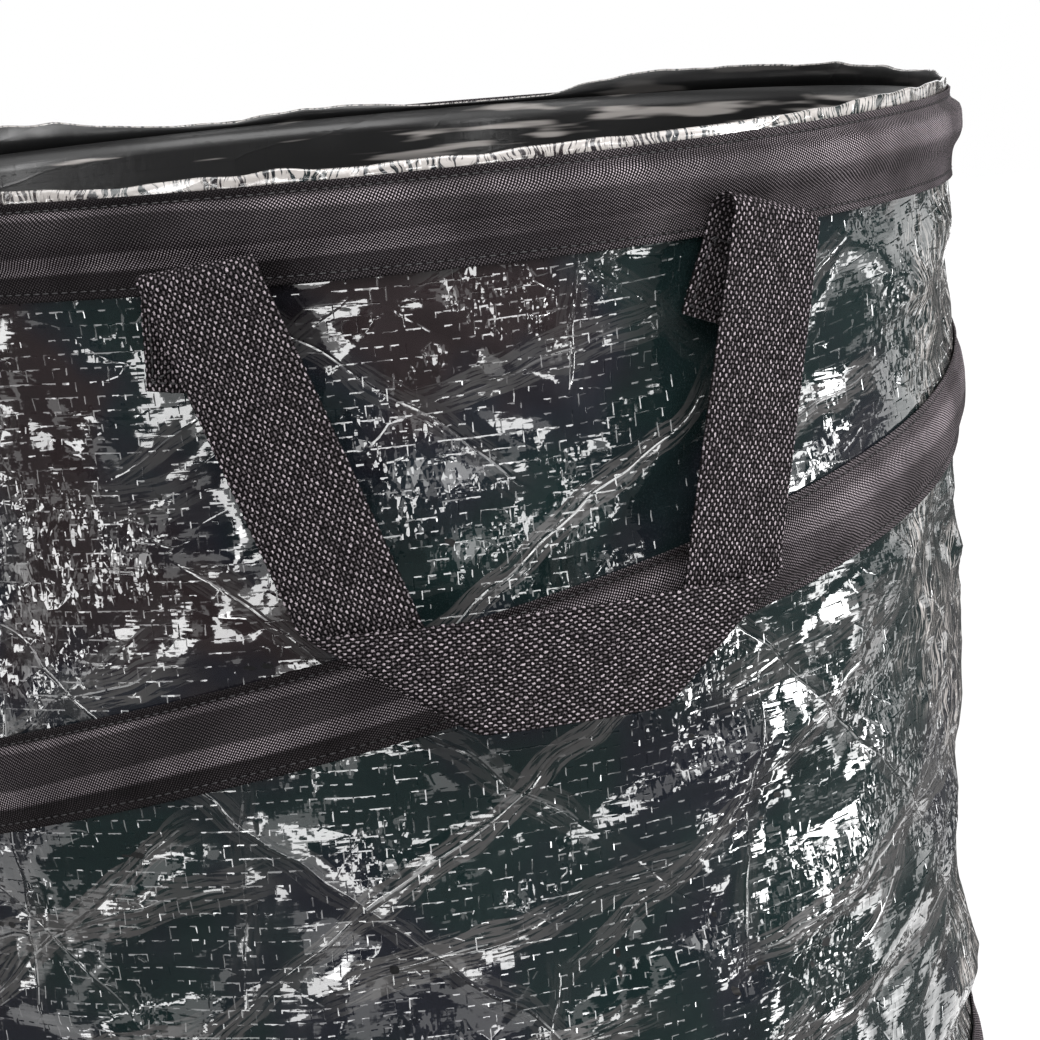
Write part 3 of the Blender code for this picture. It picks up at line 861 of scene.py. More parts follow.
# Each tape's stand off the wall across its width: at these shares, this share of its bulge
HOOP_PROFILE = ((0, 0.05), (0.085, 0), (0.24, 0.06), (0.48, 0.86), (0.58, 1), (0.76, 0.90),
                (0.915, 0), (1, 0.03))
SPIRAL_PROFILE = ((0, 0.05), (0.085, 0), (0.16, 0.10), (0.34, 0.94), (0.58, 1), (0.80, 0.48),
                  (0.915, 0), (1, 0.03))
STITCH_MARGIN = 0.085
MERGED = 0.00001


class Rule(Wiring):
    """A Geometry Nodes tree being wired up, with an input for each name in values."""

    kinds = {int: "NodeSocketInt", float: "NodeSocketFloat", bpy.types.Material: "NodeSocketMaterial"}

    def __init__(self, name, values, path=False):
        super().__init__(bpy.data.node_groups.new(name, "GeometryNodeTree"))
        sockets = self.tree.interface
        if path:
            sockets.new_socket("Path", in_out="INPUT", socket_type="NodeSocketGeometry")
        for label, value in values.items():
            sockets.new_socket(label, in_out="INPUT", socket_type=self.kinds[type(value)])
        sockets.new_socket("Made", in_out="OUTPUT", socket_type="NodeSocketGeometry")
        self.given, self.values = self.add("NodeGroupInput"), values

    def angle(self, share):
        """The angle round the bag, this share of the way from the first to the last."""
        first = self.given["First Angle"]
        return share * (self.given["Last Angle"] - first) + first

    def on_wall(self, angle, out, z):
        radius = out + (z * self.given["Taper"] + self.given["Base Radius"])
        return self.join(radius * angle.do("SINE"), radius * (angle.do("COSINE") * -1.0), z)

    def finish(self, shape, smooth=None):
        """Ends the tree with a shape that is real, smooth where asked, and in its material."""
        shape = self.add("GeometryNodeRealizeInstances", Geometry=shape)
        if smooth is not None:
            shape = self.add("GeometryNodeSetShadeSmooth", Geometry=shape, Selection=smooth)
        shape = self.add("GeometryNodeSetMaterial", Geometry=shape, Material=self.given["Cloth"])
        self.add("NodeGroupOutput", None, ((0, shape),))
        return self

    def grown(self, name, guide=None):
        """One plain mesh that the tree makes of its values, and of a guide's path if it needs one."""
        holder = bpy.data.objects.new(name + "_guide", guide or bpy.data.meshes.new(name + "_guide"))
        bpy.context.scene.collection.objects.link(holder)
        modifier = holder.modifiers.new("growth", "NODES")
        modifier.node_group = self.tree
        for item in self.tree.interface.items_tree:
            if item.in_out == "INPUT" and item.name in self.values:
                modifier[item.identifier] = self.values[item.name]
        depsgraph = bpy.context.evaluated_depsgraph_get()
        data = bpy.data.meshes.new_from_object(holder.evaluated_get(depsgraph))
        bpy.data.objects.remove(holder)
        data.name = name
        made = bpy.data.objects.new(name, data)
        bpy.context.scene.collection.objects.link(made)
        return made


def tape_rule(name, profile, values):
    """A puckered tape sewn over a wire that climbs round the bag."""
    rule = Rule(name, values)
    given = rule.given
    flat = rule.add("GeometryNodeMeshGrid", Size_X=1.0, Size_Y=1.0, Vertices_X=given["Columns"],
                    Vertices_Y=given["Rows"])
    x, y, _ = rule.split(rule.add("GeometryNodeInputPosition"))
    share, angle = y + 0.5, rule.angle(x + 0.5)
    climb = angle * (given["Climb a Turn"] / (2 * pi))
    from_wire = share - given["Wire Place"]
    z = from_wire * given["Tape Height"] + (given["Wire Height"] + climb)
    inward = share.do("MINIMUM", 1.0 - share)

    def ripple(count, rows, number):
        """Waves of the cloth, this many round the bag and across the tape."""
        ring, depth = count / 2 / pi, share * rows + number + climb * 30.0
        spot = rule.join(angle.do("SINE") * ring, angle.do("COSINE") * -1.0 * ring,
                         depth + given["Pucker Seed"])
        return rule.noise(spot, 1.0, 0.0) - 0.5

    stand = rule.add("ShaderNodeFloatCurve", Value=share)
    mapping = stand.socket.node.mapping
    line = mapping.curves[0]
    line.points[0].location, line.points[-1].location = profile[0], profile[-1]
    for spot in profile[1:-1]:
        line.points.new(*spot)
    for point in line.points:
        point.handle_type = "AUTO_CLAMPED"
    mapping.update()
    # the cloth puckers most at its edges, and not where the wire or the stitches hold it
    fine = ripple(95, 3, 30) * 0.0020 + ripple(190, 4, 50) * 0.0010
    slack = fine * (inward * -4.5).do("EXPONENT") + ripple(26, 2, 10) * 0.0022
    free = rule.ramp(stand, -0.156, 0.469) * rule.ramp(abs(from_wire), -0.024, 0.096)
    groove = (inward - STITCH_MARGIN) / 0.022
    groove = 1.0 - (groove * groove * -1.0).do("EXPONENT")
    out = stand * given["Wire Bulge"] + (slack * free + (groove * 0.00030 + given["Gap"]))
    mapped = rule.add("GeometryNodeStoreNamedAttribute", {"data_type": "FLOAT2", "domain": "CORNER"},
                      Geometry=flat, Name="surface",
                      Value=rule.join(angle * given["Length a Radian"], share * given["Tape Width"]))
    bent = rule.add("GeometryNodeSetPosition", Geometry=mapped, Position=rule.on_wall(angle, out, z))
    inner = rule.add("GeometryNodeMergeByDistance", Geometry=bent, Distance=MERGED)
    thick = rule.add("GeometryNodeExtrudeMesh", {"mode": "FACES"}, Mesh=inner,
                     Offset_Scale=given["Tape Thickness"], Individual=False)
    both = rule.add("GeometryNodeJoinGeometry", Geometry=thick)
    rule.set(both.socket.node, "Geometry", rule.add("GeometryNodeFlipFaces", Mesh=inner))
    closed = rule.add("GeometryNodeMergeByDistance", Geometry=both, Distance=MERGED)
    broad = rule.add("FunctionNodeBooleanMath", {"operation": "NOT"}, Boolean=thick["Side"])
    return rule.finish(closed, broad)


def stitch_rule(values):
    """Stitches along the edges of a mesh path."""
    rule = Rule("stitches", values, path=True)
    given = rule.given
    curve = rule.add("GeometryNodeMeshToCurve", Mesh=given["Path"])
    spaced = rule.add("GeometryNodeResampleCurve", {"mode": "LENGTH"}, Curve=curve,
                      Length=given["Stitch Pitch"])
    turned = rule.add("FunctionNodeAlignRotationToVector", {"axis": "Z"},
                      Vector=rule.add("GeometryNodeInputTangent"))
    stitch = rule.add("GeometryNodeMeshUVSphere", Segments=6, Rings=4, Radius=0.5)
    size = rule.join(given["Thread Thickness"], given["Thread Thickness"], given["Stitch Length"])
    return rule.finish(rule.add("GeometryNodeInstanceOnPoints", Points=spaced, Instance=stitch,
                                Rotation=turned, Scale=size), True)


def wire_rule(values):
    """A round wire that climbs round the bag."""
    rule = Rule("spiral wire", values)
    given = rule.given
    line = rule.add("GeometryNodeMeshLine", Count=given["Steps"])
    curve = rule.add("GeometryNodeMeshToCurve", Mesh=line)
    angle = rule.angle(rule.add("GeometryNodeInputIndex") / (given["Steps"] - 1.0))
    z = angle * (given["Climb a Turn"] / (2 * pi)) + given["Wire Height"]
    coil = rule.add("GeometryNodeSetPosition", Geometry=curve,
                    Position=rule.on_wall(angle, given["Stand Off"], z))
    outline = rule.add("GeometryNodeCurvePrimitiveCircle", Resolution=12, Radius=given["Wire Radius"])
    return rule.finish(rule.add("GeometryNodeCurveToMesh", Curve=coil, Profile_Curve=outline, Fill_Caps=True))


class BAG_OT_tapes(bpy.types.Operator):
    """Makes the twill tapes over the hoops and the spiral"""

    bl_idname = "bag.tapes"
    bl_label = "Tapes"

    def execute(self, context):
        cloth = twill_tape("twill_tape")
        width = sizes().tape_width
        start, end = spiral_ends()
        hoop = {"Columns": 481, "First Angle": -pi, "Last Angle": pi, "Climb a Turn": 0.0,
                "Tape Height": width, "Wire Bulge": HOOP_BULGE}
        coil = {"Columns": 861, "First Angle": start, "Last Angle": end, "Climb a Turn": SPIRAL_PITCH,
                "Tape Height": spiral_tape_height(), "Wire Bulge": SPIRAL_BULGE}
        for name, body, profile, height, seed, given in (
                ("rim", "rim", HOOP_PROFILE, tape_bottom() + width * RIDGE_SHARE, 2.0, hoop),
                ("base", "base", HOOP_PROFILE, BASE_TAPE_RISE + width * RIDGE_SHARE, 90.0, hoop),
                ("spiral", "base", SPIRAL_PROFILE, SPIRAL_FRONT_HEIGHT, 400.0, coil)):
            rule = tape_rule(name + "_tape_rule", profile, {
                "Rows": 33, "Wire Place": RIDGE_SHARE, "Wire Height": height, "Tape Width": width,
                "Tape Thickness": TAPE, "Gap": GAP, "Base Radius": BASE_RADIUS, "Taper": TAPER,
                "Length a Radian": unwrapped(1.0), "Pucker Seed": seed, "Cloth": cloth, **given})
            placed(rule.grown(name + "_tape"), body, name + "_casing",
                   folds=name == "spiral")
        return {"FINISHED"}


# The lip and its hem

LOWEST_LIP = -0.0050
RING_COLUMNS = 480
HEM_DEPTH = 0.030
# How far the lip rises or sinks round the mouth: degrees from the front, metres
RIM_LINE = (
    (0, 0), (90, 0), (104, 0.003), (126, 0.002), (138, 0), (142, -0.0035), (147, -0.0050), (158, -0.0046),
    (165, -0.0030), (172, -0.0014), (179, -0.0050), (184, -0.0045), (189, -0.0022), (195, 0.0005),
    (200, 0.004), (207, 0.005), (216, 0.002), (225, 0), (360, 0),
)


def ring_of(name, outline, material, moved=None):
    """A closed ring round the bag, from an outline of distances off the wall and heights."""
    angle = np.linspace(0, 2 * pi, RING_COLUMNS, endpoint=False)
    run, points, length = 0.0, [], []
    for n, (out, z) in enumerate(outline):
        if n:
            run += ((out - outline[n - 1][0]) ** 2 + (z - outline[n - 1][1]) ** 2) ** 0.5
        shift, lift = moved(angle, z) if moved else (0 * angle, 0)
        points.append(on_wall(angle, out + shift, z + lift))
        length.append(run + 0 * angle)
    length = np.array(length)
    turn = np.broadcast_to(unwrapped(from_front(angle)), length.shape)
    uv = np.stack([turn, length], -1).reshape(-1, 2)
    faces = grid_faces(len(outline), RING_COLUMNS, wrap_rows=True, wrap_columns=True)
    ring = new_mesh(name, np.array(points).reshape(-1, 3), faces, material, uv)
    meet_behind(ring.data)
    return ring


class BAG_OT_lip(bpy.types.Operator):
    """Makes the folded lip of the sheet and its turned-in hem"""

    bl_idname = "bag.lip"
    bl_label = "Lip and hem"

    def execute(self, context):
        above, shoulder = wall_top() + GAP, HEIGHT - SHEET
        near, far = -SHEET - GAP, -2 * SHEET - GAP
        middle = (above + shoulder) / 2
        outline = [(0, above), (0, middle), (0, shoulder), (-SHEET / 2, HEIGHT - SHEET / 4),
                   (-SHEET, HEIGHT), (far + SHEET / 2, HEIGHT - SHEET / 4), (far, shoulder),
                   (far, middle), (far, above)]

        def waved(angle, z):
            free = smoothstep((z - above) / (HEIGHT - above))
            wave = value_noise(angle * 22 / (2 * pi), angle * 0, 31, 22) - 0.5
            small = value_noise(angle * 110 / (2 * pi), angle * 0, 32, 110) - 0.5
            line = np.interp(np.degrees(angle), *zip(*RIM_LINE))
            lift = np.maximum(line + wave * 0.0022 + small * 0.0016, LOWEST_LIP) * free
            return (wave * 0.0012 + small * 0.0010) * free, lift - 0.0012 * free
        # the lip's film has the whitish highlight painted all over it
        lip = ring_of("lip_cloth", outline, film_cloth("lip_film", 0.45, 0.16, 0.35, pale=1.0), waved)
        hem_film = film_cloth("hem_film", 0.10, 0.34, 0.05, looks().film_inside)
        lip.data.materials.append(hem_film)
        slots = (np.arange(len(lip.data.polygons)) // RING_COLUMNS > 5).astype(np.int32)
        lip.data.polygons.foreach_set("material_index", slots)
        placed(lip, "rim", "rim_hem")
        # the hem lies against the wall and folds down with it
        heights = np.linspace(above - 0.00005, wall_top() - HEM_DEPTH, 5)
        outline = [(far, z) for z in heights] + [(near, z) for z in heights[::-1]]
        placed(ring_of("hem_cloth", outline, hem_film), "base", folds=True)
        return {"FINISHED"}


class BAG_OT_floor(bpy.types.Operator):
    """Makes the round floor sheet and the wall's lapped seam"""

    bl_idname = "bag.floor"
    bl_label = "Floor and seam"

    def execute(self, context):
        material = film_cloth("floor_film", 0.35, 0.30)
        self.floor(material)
        self.seam(material)
        return {"FINISHED"}

    def floor(self, material):
        """A shallow dish: its edge is turned up inside the base tape."""
        radius, edge, middle, columns = wall_radius(0) - SHEET - GAP, 0.012, 0.012, 180
        angle = np.linspace(0, 2 * pi, columns, endpoint=False)
        inward = [(r, 0.0) for r in np.linspace(radius - 0.008, middle, 24)]
        rings = [(radius, edge), (radius, 0.006), (radius, 0.0008), (radius - 0.001, 0.0), *inward]
        lining = [(radius - 0.0008, edge), (radius - 0.0008, 0.006), (radius - 0.0012, 0.0020),
                  (radius - 0.004, 0.0008), *((r, 0.0008) for r, _ in inward)]

        def ring(r, z):
            return np.stack([r * np.sin(angle), -r * np.cos(angle), z + 0 * angle], -1)

        def bump(r):
            x, y, _ = ring(r, 0).T
            height = (value_noise(x * 18 + 40, y * 18 + 40, 51) - 0.3) * 0.0022
            return np.maximum(height * smoothstep((radius - r) / 0.02), 0)

        under = np.concatenate([ring(r, z) for r, z in rings])
        over = np.concatenate([ring(r, z + bump(r)) for r, z in lining])
        rows, count = len(rings), len(under)
        across = np.arange(columns)
        ahead = (across + 1) % columns
        low, high, last = 2 * count, 2 * count + 1, (rows - 1) * columns
        faces = [grid_faces(rows, columns, wrap_columns=True)[:, ::-1],
                 grid_faces(rows, columns, wrap_columns=True, first=count),
                 np.stack([across, ahead, ahead + count, across + count], -1)]
        fans = [(a + last, low, b + last) for a, b in zip(across, ahead)]
        fans += [(b + last + count, high, a + last + count) for a, b in zip(across, ahead)]
        points = np.concatenate([under, over, [[0, 0, 0], [0, 0, 0.0010]]])
        faces = np.concatenate(faces).tolist() + fans
        made = new_mesh("floor_cloth", points, faces, material, points[:, :2])
        placed(made, "base", "base_panel")
        2 * radius
        2 * radius
        pi * (radius + edge) ** 2

    def seam(self, material):
        z = np.linspace(0.013, wall_top() - HEM_DEPTH - 0.001, 60)
        angle = SEAM_ANGLE + np.linspace(1, -1, 5) * 0.006 / RIM_RADIUS
        angle, z = np.meshgrid(angle, z)
        points = on_wall(angle, -SHEET - GAP - 0.0002, z)
        made = closed_sheet("seam_strip", points, SHEET, np.stack([unwrapped(angle), z], -1), material)
        placed(made, "base", "wall_seam", folds=True)


# The webbing handles

TAIL_LENGTH = 0.036
TAIL_LIFT_SHARE = 0.9
TAIL_RISE = 0.0035
LEFT_TAIL_LEAN = radians(6)
RIGHT_TAIL_LEAN = radians(20)
FOLD_CLEARANCE = 0.0031
FOLD_SPACING = 0.1946
FOLD_RADIUS = 0.0055
CORNER_RADIUS = 0.002
HANDLE_DROP = 0.133
LEFT_LEAN = radians(18.5)
RIGHT_LEAN = radians(13)
STRAP = 0.0016


class Fold:
    """A half turn of the strap about a crease that crosses it at an angle."""

    def __init__(self, along, slant, radius, side):
        self.along, self.slant, self.radius, self.side = along, slant, radius, side
        self.arc = pi * radius

    def past(self, s, t):
        return (s - self.along) * cos(self.slant) - t * sin(self.slant)

    def line(self, far, t):
        return self.along + (far + t * sin(self.slant)) / cos(self.slant)

    def bend(self, p, s, t):
        """Folds the points p, which belong to the flat places s and t."""
        far = self.past(s, t)
        x, y, o = p[..., 0] - self.along, p[..., 1], p[..., 2] * self.side
        ca, sa = cos(self.slant), sin(self.slant)
        d, c = x * ca - y * sa, x * sa + y * ca
        turn = np.clip(far / self.radius, 0, pi)
        spare = d - self.radius * turn
        new_d = self.radius * np.sin(turn) + spare * np.cos(turn) - o * np.sin(turn)
        new_o = self.radius * (1 - np.cos(turn)) + spare * np.sin(turn) + o * np.cos(turn)
        bent = np.stack([new_d * ca + c * sa + self.along, -new_d * sa + c * ca, new_o * self.side], -1)
        return np.where((far > 0)[..., None], bent, p)


def unit(angle):
    return Vector((cos(angle), sin(angle)))


def handle_folds():
    """The strap's four folds, as the solids have them."""
    up, across = pi / 2, 0
    headings = (up - LEFT_TAIL_LEAN, LEFT_LEAN - up, across, up - RIGHT_LEAN, -up - RIGHT_TAIL_LEAN)
    radii = (FOLD_RADIUS, CORNER_RADIUS, CORNER_RADIUS, FOLD_RADIUS)
    slants, drifts = [], []
    for n, radius in enumerate(radii):
        crease = (headings[n] + headings[n + 1]) / 2
        between = crease - headings[n]
        mirror = -1 if n % 2 else 1
        slants.append(pi / 2 - (mirror * between) % pi)
        drifts.append(unit(crease) * pi * radius * cos(between) / abs(sin(between)))
    left, right = unit(headings[1]), unit(headings[3])
    left_leg = (-HANDLE_DROP - drifts[0].y - drifts[1].y) / left.y
    right_leg = (HANDLE_DROP - drifts[2].y - drifts[3].y) / right.y
    sideways = left.x * left_leg + right.x * right_leg + sum(d.x for d in drifts)
    folds, along = [], TAIL_LENGTH
    for n, reach in enumerate((left_leg, FOLD_SPACING - sideways, right_leg, TAIL_LENGTH)):
        folds.append(Fold(along, slants[n], radii[n], 1 if n in (0, 3) else -1))
        along += pi * radii[n] / cos(slants[n]) + reach
    return folds, along


def strap_point(s, t, o, folds, length, facing):
    """World points of places on the strap: along it, across it and off its middle."""
    p = np.stack([s, t, o + 0 * s], -1)
    for fold in reversed(folds):
        p = fold.bend(p, s, t)
    tail_out = GAP + STRAP / 2
    fold_out = tail_out + FOLD_CLEARANCE
    tail = smoothstep(np.minimum(s, length - s) / (TAIL_LENGTH * TAIL_LIFT_SHARE))
    out = tail_out + (fold_out - tail_out) * tail + p[..., 2]
    height = tape_bottom() + TAIL_RISE
    curve = wall_radius(height) + fold_out + FOLD_RADIUS
    rise, aside = p[..., 0] - TAIL_LENGTH, -p[..., 1]
    sideways = -FOLD_SPACING / 2 + aside * cos(LEFT_TAIL_LEAN) + rise * sin(LEFT_TAIL_LEAN)
    z = height + rise * cos(LEFT_TAIL_LEAN) - aside * sin(LEFT_TAIL_LEAN)
    return on_wall(facing + sideways / curve, out, z)


def strap_piece(name, start, end, folds, length, facing, material):
    """A stretch of woven strap between two lines across it. start and end give s for each t."""
    width, columns = sizes().strap_width, 25
    t = np.sin(np.linspace(-pi / 2, pi / 2, columns)) * width / 2
    reach = float(np.mean(end(t) - start(t)))
    rows = max(8, int(round(reach / 0.0005)))
    share = np.linspace(0, 1, rows)[:, None]
    s = start(t)[None, :] * (1 - share) + end(t)[None, :] * share
    t = np.broadcast_to(t, s.shape)
    notch, selvedge = 0.00016, 0.0012
    at_edge = smoothstep((np.abs(t) - width / 2 + selvedge) / selvedge)
    wave = (value_noise(s * 16 + 50, t * 20 + 50, 61) - 0.5) * 0.0007
    side = t + np.sign(t) * notch * (np.sin(s * pi / sizes().pick_pitch) * at_edge - 1)
    edge = np.sqrt(np.clip(1 - (np.abs(t) / (width / 2)) ** 16, 0.05, 1))
    half = sizes().strap_thickness / 2 * edge
    top = strap_point(s, side, half + wave, folds, length, facing)
    under = strap_point(s, side, -half + wave, folds, length, facing)
    flat = np.stack([s, t + width / 2], -1)
    return shell(name, under, top, flat, flat, material)


class BAG_OT_handles(bpy.types.Operator):
    """Makes the two webbing handles, with their tails and folds"""

    bl_idname = "bag.handles"
    bl_label = "Handles"

    def execute(self, context):
        material = webbing_cloth("webbing")
        folds, length = handle_folds()
        first, fourth = folds[0], folds[3]
        lines = {
            "tail_left": (lambda t: 0 * t, lambda t: first.line(0, t)),
            "fold_left": (lambda t: first.line(0, t), lambda t: first.line(first.arc, t)),
            "handle": (lambda t: first.line(first.arc, t), lambda t: fourth.line(0, t)),
            "fold_right": (lambda t: fourth.line(0, t), lambda t: fourth.line(fourth.arc, t)),
            "tail_right": (lambda t: fourth.line(fourth.arc, t), lambda t: length + 0 * t),
        }
        for side, facing in SIDES:
            for part, (start, end) in lines.items():
                node, loop = f"{side}_{part}", f"{side}_handle_loop"
                piece = strap_piece(node + "_webbing", start, end, folds, length, facing, material)
                if "fold" not in part:
                    placed(piece, loop if part == "handle" else "rim", node)
                    continue
                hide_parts(node)
                fold = first if part == "fold_left" else fourth
                ends = [strap_point(np.array(fold.line(far, 0)), np.array(0.0), 0.0, folds, length, facing)
                        for far in (0, fold.arc)]
                if part == "fold_right":
                    ends = ends[::-1]
                tuple(ends[0])
                tuple(ends[1])
                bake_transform(piece)
        return {"FINISHED"}


# Stitching, closures and wires

STITCH_PROUD = 0.0001
# the tails' stitches: a box with a cross, between these distances from a tail's end
BOX_NEAR, BOX_FAR, BOX_MARGIN = 0.003, 0.026, 0.003
TAB_FACING = radians(86)
TAB_THICKNESS = 0.0012
TAB_HALF_WIDTH = 0.0125
TAB_CORNER = 0.003
TAB_LENGTH = 0.042
PATCH_HEIGHT = 0.016


class BAG_OT_stitching(bpy.types.Operator):
    """Sews the tapes and the handle tails"""

    bl_idname = "bag.stitching"
    bl_label = "Stitching"

    def execute(self, context):
        width, thread = sizes().tape_width, thread_cloth("sewing_thread")
        fine, stout = (stitch_rule({
            "Stitch Pitch": sizes().stitch_pitch, "Stitch Length": sizes().stitch_length,
            "Thread Thickness": thickness, "Cloth": thread}) for thickness in (0.0006, 0.0008))
        ring = np.linspace(0, 2 * pi, 721)
        for name, low, body in (("rim", tape_bottom(), "rim"), ("base", BASE_TAPE_RISE, "base")):
            placed(self.along_tape(name, fine, ring, low, low + width), body)
        turn = np.linspace(*spiral_ends(), 1200)
        tall, middle = spiral_tape_height(), spiral_height(turn)
        low = middle - tall * RIDGE_SHARE
        coil = self.along_tape("spiral", fine, turn, low, middle + tall * (1 - RIDGE_SHARE))
        placed(coil, "base", folds=True)
        folds, length = handle_folds()
        half = sizes().strap_width / 2 - BOX_MARGIN
        corners = [(BOX_NEAR, -half), (BOX_NEAR, half), (BOX_FAR, half), (BOX_FAR, -half),
                   (BOX_NEAR, -half), (BOX_FAR, half), (BOX_FAR, -half), (BOX_NEAR, half)]
        s, t = (np.concatenate([np.linspace(a[n], b[n], 14) for a, b in zip(corners, corners[1:])])
                for n in range(2))
        for side, facing in SIDES:
            paths = [strap_point(along, t, STRAP / 2 + STITCH_PROUD, folds, length, facing)
                     for along in (s, length - s)]
            placed(self.sewn(f"{side}_tail_stitching", stout, paths), "rim")
        return {"FINISHED"}

    def along_tape(self, name, rule, angle, low, high):
        """Two lines of stitches along a tape, from the heights of its edges."""
        margin = sizes().tape_width * STITCH_MARGIN
        paths = [on_wall(angle, GAP + TAPE + STITCH_PROUD, z + 0 * angle)
                 for z in (low + margin, high - margin)]
        return self.sewn(name + "_stitching", rule, paths)

    def sewn(self, name, rule, paths):
        """One plain mesh of stitches along paths of points."""
        points, edges = [], []
        for path in paths:
            first = len(points)
            points += [tuple(p) for p in path]
            edges += [(first + n, first + n + 1) for n in range(len(path) - 1)]
        guide = bpy.data.meshes.new(name + "_path")
        guide.from_pydata(points, edges, [])
        return rule.grown(name, guide)


class BAG_OT_closures(bpy.types.Operator):
    """Makes the storage tabs and their patches"""

    bl_idname = "bag.closures"
    bl_label = "Closures"

    def execute(self, context):
        hook, loop = hook_tape("hook_tape", 700.0), hook_tape("loop_tape", 500.0)
        top, bottom = tape_bottom() - GAP - TAB_THICKNESS / 2, wall_foot() + GAP
        for side, facing in (("right", TAB_FACING), ("left", -TAB_FACING)):
            tab, patch = f"closure_tab_{side}", f"closure_patch_{side}"
            placed(self.patch(tab, facing, top - TAB_LENGTH, top, hook), tab + "_body", tab)
            placed(self.patch(patch, facing, bottom, bottom + PATCH_HEIGHT, loop),
                   "base", patch, folds=True)
        return {"FINISHED"}

    def patch(self, name, facing, low, high, material):
        """A patch of hook or loop tape with rounded corners."""
        t, z = np.meshgrid(np.linspace(-1, 1, 16), np.linspace(low, high, 24))
        straight = (high - low) / 2 - TAB_CORNER
        over = np.clip(np.abs(z - (low + high) / 2) - straight, 0, TAB_CORNER)
        half = TAB_HALF_WIDTH - TAB_CORNER + np.sqrt(np.maximum(TAB_CORNER ** 2 - over ** 2, 0))
        points = on_wall(facing + t * half / wall_radius(high), GAP + TAB_THICKNESS, z)
        uv = np.stack([t * half, z], -1)
        return closed_sheet(name + "_tape", points, TAB_THICKNESS, uv, material)


class BAG_OT_wires(bpy.types.Operator):
    """Finishes the spring wires and their sleeves"""

    bl_idname = "bag.wires"
    bl_label = "Wires"

    def execute(self, context):
        steel = metal("spring_wire", looks().steel, 0.32)
        sleeve = metal("sleeve_metal", looks().sleeve, 0.28)
        start, end = spiral_ends()
        rule = wire_rule({
            "Steps": 720, "First Angle": start + WIRE_INSET, "Last Angle": end - WIRE_INSET,
            "Climb a Turn": SPIRAL_PITCH, "Wire Height": SPIRAL_FRONT_HEIGHT, "Wire Radius": WIRE_RADIUS,
            "Stand Off": GAP + WIRE_RADIUS, "Base Radius": BASE_RADIUS, "Taper": TAPER, "Cloth": steel})
        placed(rule.grown("spiral_wire"), "base", "spiral_spring", folds=True)
        for node, material in (("rim_hoop", steel), ("base_hoop", steel),
                               ("rim_hoop_ferrule", sleeve), ("base_hoop_ferrule", sleeve)):
            for slot in frame["nodes"][node].material_slots:
                slot.material = material
        return {"FINISHED"}


# Studio

def surroundings(wires, direction):
    """The studio as the cloth mirrors it, by direction: dark screens, pale panels and lamps."""
    place = direction + (5.2, 1.3, 0.7)
    panel = wires.ramp(wires.noise(direction, 2.2), 0.55, 0.565, 0.02, 1.0)
    lamps = wires.ramp(wires.noise(place, 4.2, 1.0), 0.64, 0.655, 0.0, 9.0)
    back = wires.ramp(direction.do("DOT_PRODUCT", (-0.17, -0.985, 0)), 0.10, -0.20)
    gaps = wires.ramp(wires.noise(place, 3.4), 0.52, 0.54, 0.03, 1.3)
    z = wires.split(direction)[2]
    above = wires.ramp(z, 0.40, 0.46) * wires.ramp(z, 0.86, 0.80, 0.0, 3.2)
    front = panel.do("MAXIMUM", lamps).do("MAXIMUM", above) * (1.0 - back * 0.9)
    return front.do("MAXIMUM", back * gaps)


def floor_material(name):
    """White paper with the bag's shadow. Glossy cloth mirrors the studio in it."""
    look = Look(name)
    place = look.place()
    far = place.do("LENGTH")
    camera = look.add("ShaderNodeLightPath")["Is Camera Ray"]
    glossy = camera["Is Glossy Ray"]
    seen = (place - (0, 0, 0.36)).do("NORMALIZE")
    open_floor = look.ramp(far, 0.30, 1.30) * camera
    colour = look.mix(open_floor.do("MAXIMUM", glossy), (0.72, 0.72, 0.72), (0, 0, 0))
    glow = camera * look.ramp(far, 0.30, 1.30, 0.50, 1.0) + glossy * surroundings(look, seen)
    look.material.cycles.emission_sampling = "NONE"
    return look.finish(Base_Color=colour, Roughness=0.9, Emission_Color=(1, 1, 1, 1), Emission_Strength=glow)


def lamp(name, place, target, width, height, power):
    data = bpy.data.lights.new(name, "AREA")
    data.shape = "RECTANGLE"
    data.size, data.size_y, data.energy = width, height, power
    made = bpy.data.objects.new(name, data)
    bpy.context.scene.collection.objects.link(made)
    made.location = place
    made.rotation_euler = (Vector(target) - Vector(place)).to_track_quat("-Z", "Y").to_euler()


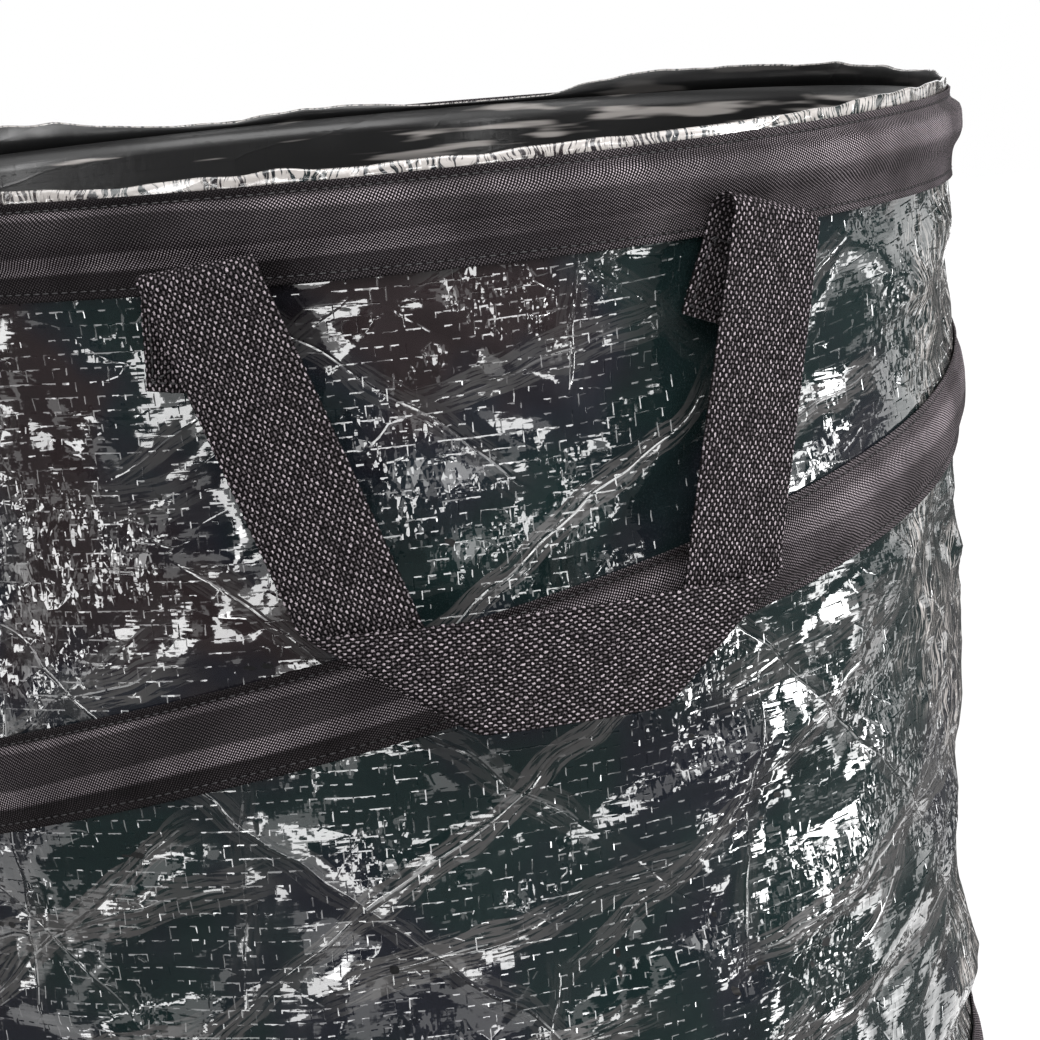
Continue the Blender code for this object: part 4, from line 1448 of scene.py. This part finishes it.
class BAG_OT_stage(bpy.types.Operator):
    """Makes the floor, the soft light and the camera"""

    bl_idname = "bag.stage"
    bl_label = "Stage"

    def execute(self, context):
        scene = bpy.context.scene
        scene.view_settings.view_transform = "Standard"
        self.floor()
        self.world(scene)
        self.lamps()
        self.camera(scene)
        return {"FINISHED"}

    def floor(self):
        reach = 6.0
        points = [(-reach, -reach, 0), (reach, -reach, 0), (reach, reach, 0), (-reach, reach, 0)]
        floor = new_mesh("studio_floor", points, [(0, 1, 2, 3)], floor_material("floor_paper"))
        floor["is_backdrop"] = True

    def world(self, scene):
        world = bpy.data.worlds.new("studio")
        world.use_nodes = True
        wires = Wiring(world.node_tree)
        wires.tree.nodes.clear()
        camera = wires.add("ShaderNodeLightPath")["Is Camera Ray"]
        direction = wires.add("ShaderNodeTexCoord")["Generated"]
        soft = 0.35
        level = camera["Is Glossy Ray"] * (surroundings(wires, direction) - soft) + soft
        shade = wires.add("ShaderNodeBackground", Color=(1, 1, 1, 1), Strength=level.do("MAXIMUM", camera))
        wires.add("ShaderNodeOutputWorld", {"is_active_output": True}, Surface=shade)
        scene.world = world

    def lamps(self):
        lamp("strip_left", (-1.15, -1.25, 0.66), (0, 0, 0.62), 0.22, 1.3, 7)
        lamp("strip_right", (1.45, -0.80, 0.75), (0, 0, 0.5), 0.22, 1.3, 20)
        lamp("overhead", (0.1, -1.15, 1.75), (0, 0, 0.40), 1.5, 0.9, 24)

    def camera(self, scene):
        data = bpy.data.cameras.new("camera")
        data.sensor_width = 36
        data.lens = 125.6
        data.clip_end = 50
        made = bpy.data.objects.new("camera", data)
        scene.collection.objects.link(made)
        heading, down, roll = radians(13.86), radians(9.302), radians(5.292)
        forward = Vector((sin(heading) * cos(down), cos(heading) * cos(down), -sin(down)))
        right = Vector((cos(heading), -sin(heading), 0))
        below = forward.cross(right)
        r = right * cos(roll) + below * sin(roll)
        d = below * cos(roll) - right * sin(roll)
        turn = Matrix((r, -d, -forward)).transposed()
        made.matrix_world = Matrix.Translation((-0.2737, -1.3403, 0.6278)) @ turn.to_4x4()
        scene.camera = made


class BAG_PT_panel(bpy.types.Panel):
    """Lists the bag's sizes, colours and pieces"""

    bl_label = "Leaf bag"
    bl_idname = "BAG_PT_panel"
    bl_space_type = "VIEW_3D"
    bl_region_type = "UI"
    bl_category = "Leaf Bag"

    def draw(self, context):
        for group in (context.scene.bag_sizes, context.scene.bag_looks):
            column = self.layout.column(align=True)
            for name in group.bl_rna.properties.keys():
                if name not in ("rna_type", "name"):
                    column.prop(group, name)
        for operator in OPERATORS:
            self.layout.operator(operator.bl_idname)


OPERATORS = (BAG_OT_stage, BAG_OT_wall, BAG_OT_tapes, BAG_OT_lip, BAG_OT_floor, BAG_OT_handles,
             BAG_OT_stitching, BAG_OT_closures, BAG_OT_wires)
CLASSES = (BagSizes, BagLooks, *OPERATORS, BAG_PT_panel)


def register():
    for cls in CLASSES:
        bpy.utils.register_class(cls)
    bpy.types.Scene.bag_sizes = bpy.props.PointerProperty(type=BagSizes)
    bpy.types.Scene.bag_looks = bpy.props.PointerProperty(type=BagLooks)


def unregister():
    del bpy.types.Scene.bag_looks
    del bpy.types.Scene.bag_sizes
    for cls in reversed(CLASSES):
        bpy.utils.unregister_class(cls)


def plain(bounds):
    return [[float(v) for v in corner] for corner in bounds]


def main():
    register()
    bpy.ops.bag.stage()
    bpy.ops.bag.wall()
    bpy.ops.bag.tapes()
    bpy.ops.bag.lip()
    bpy.ops.bag.floor()
    bpy.ops.bag.handles()
    bpy.ops.bag.stitching()
    bpy.ops.bag.closures()
    bpy.ops.bag.wires()
    {"cad": plain(CAD_BOUNDS), "visual": plain(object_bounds())}


if __name__ == "__main__":
    main()
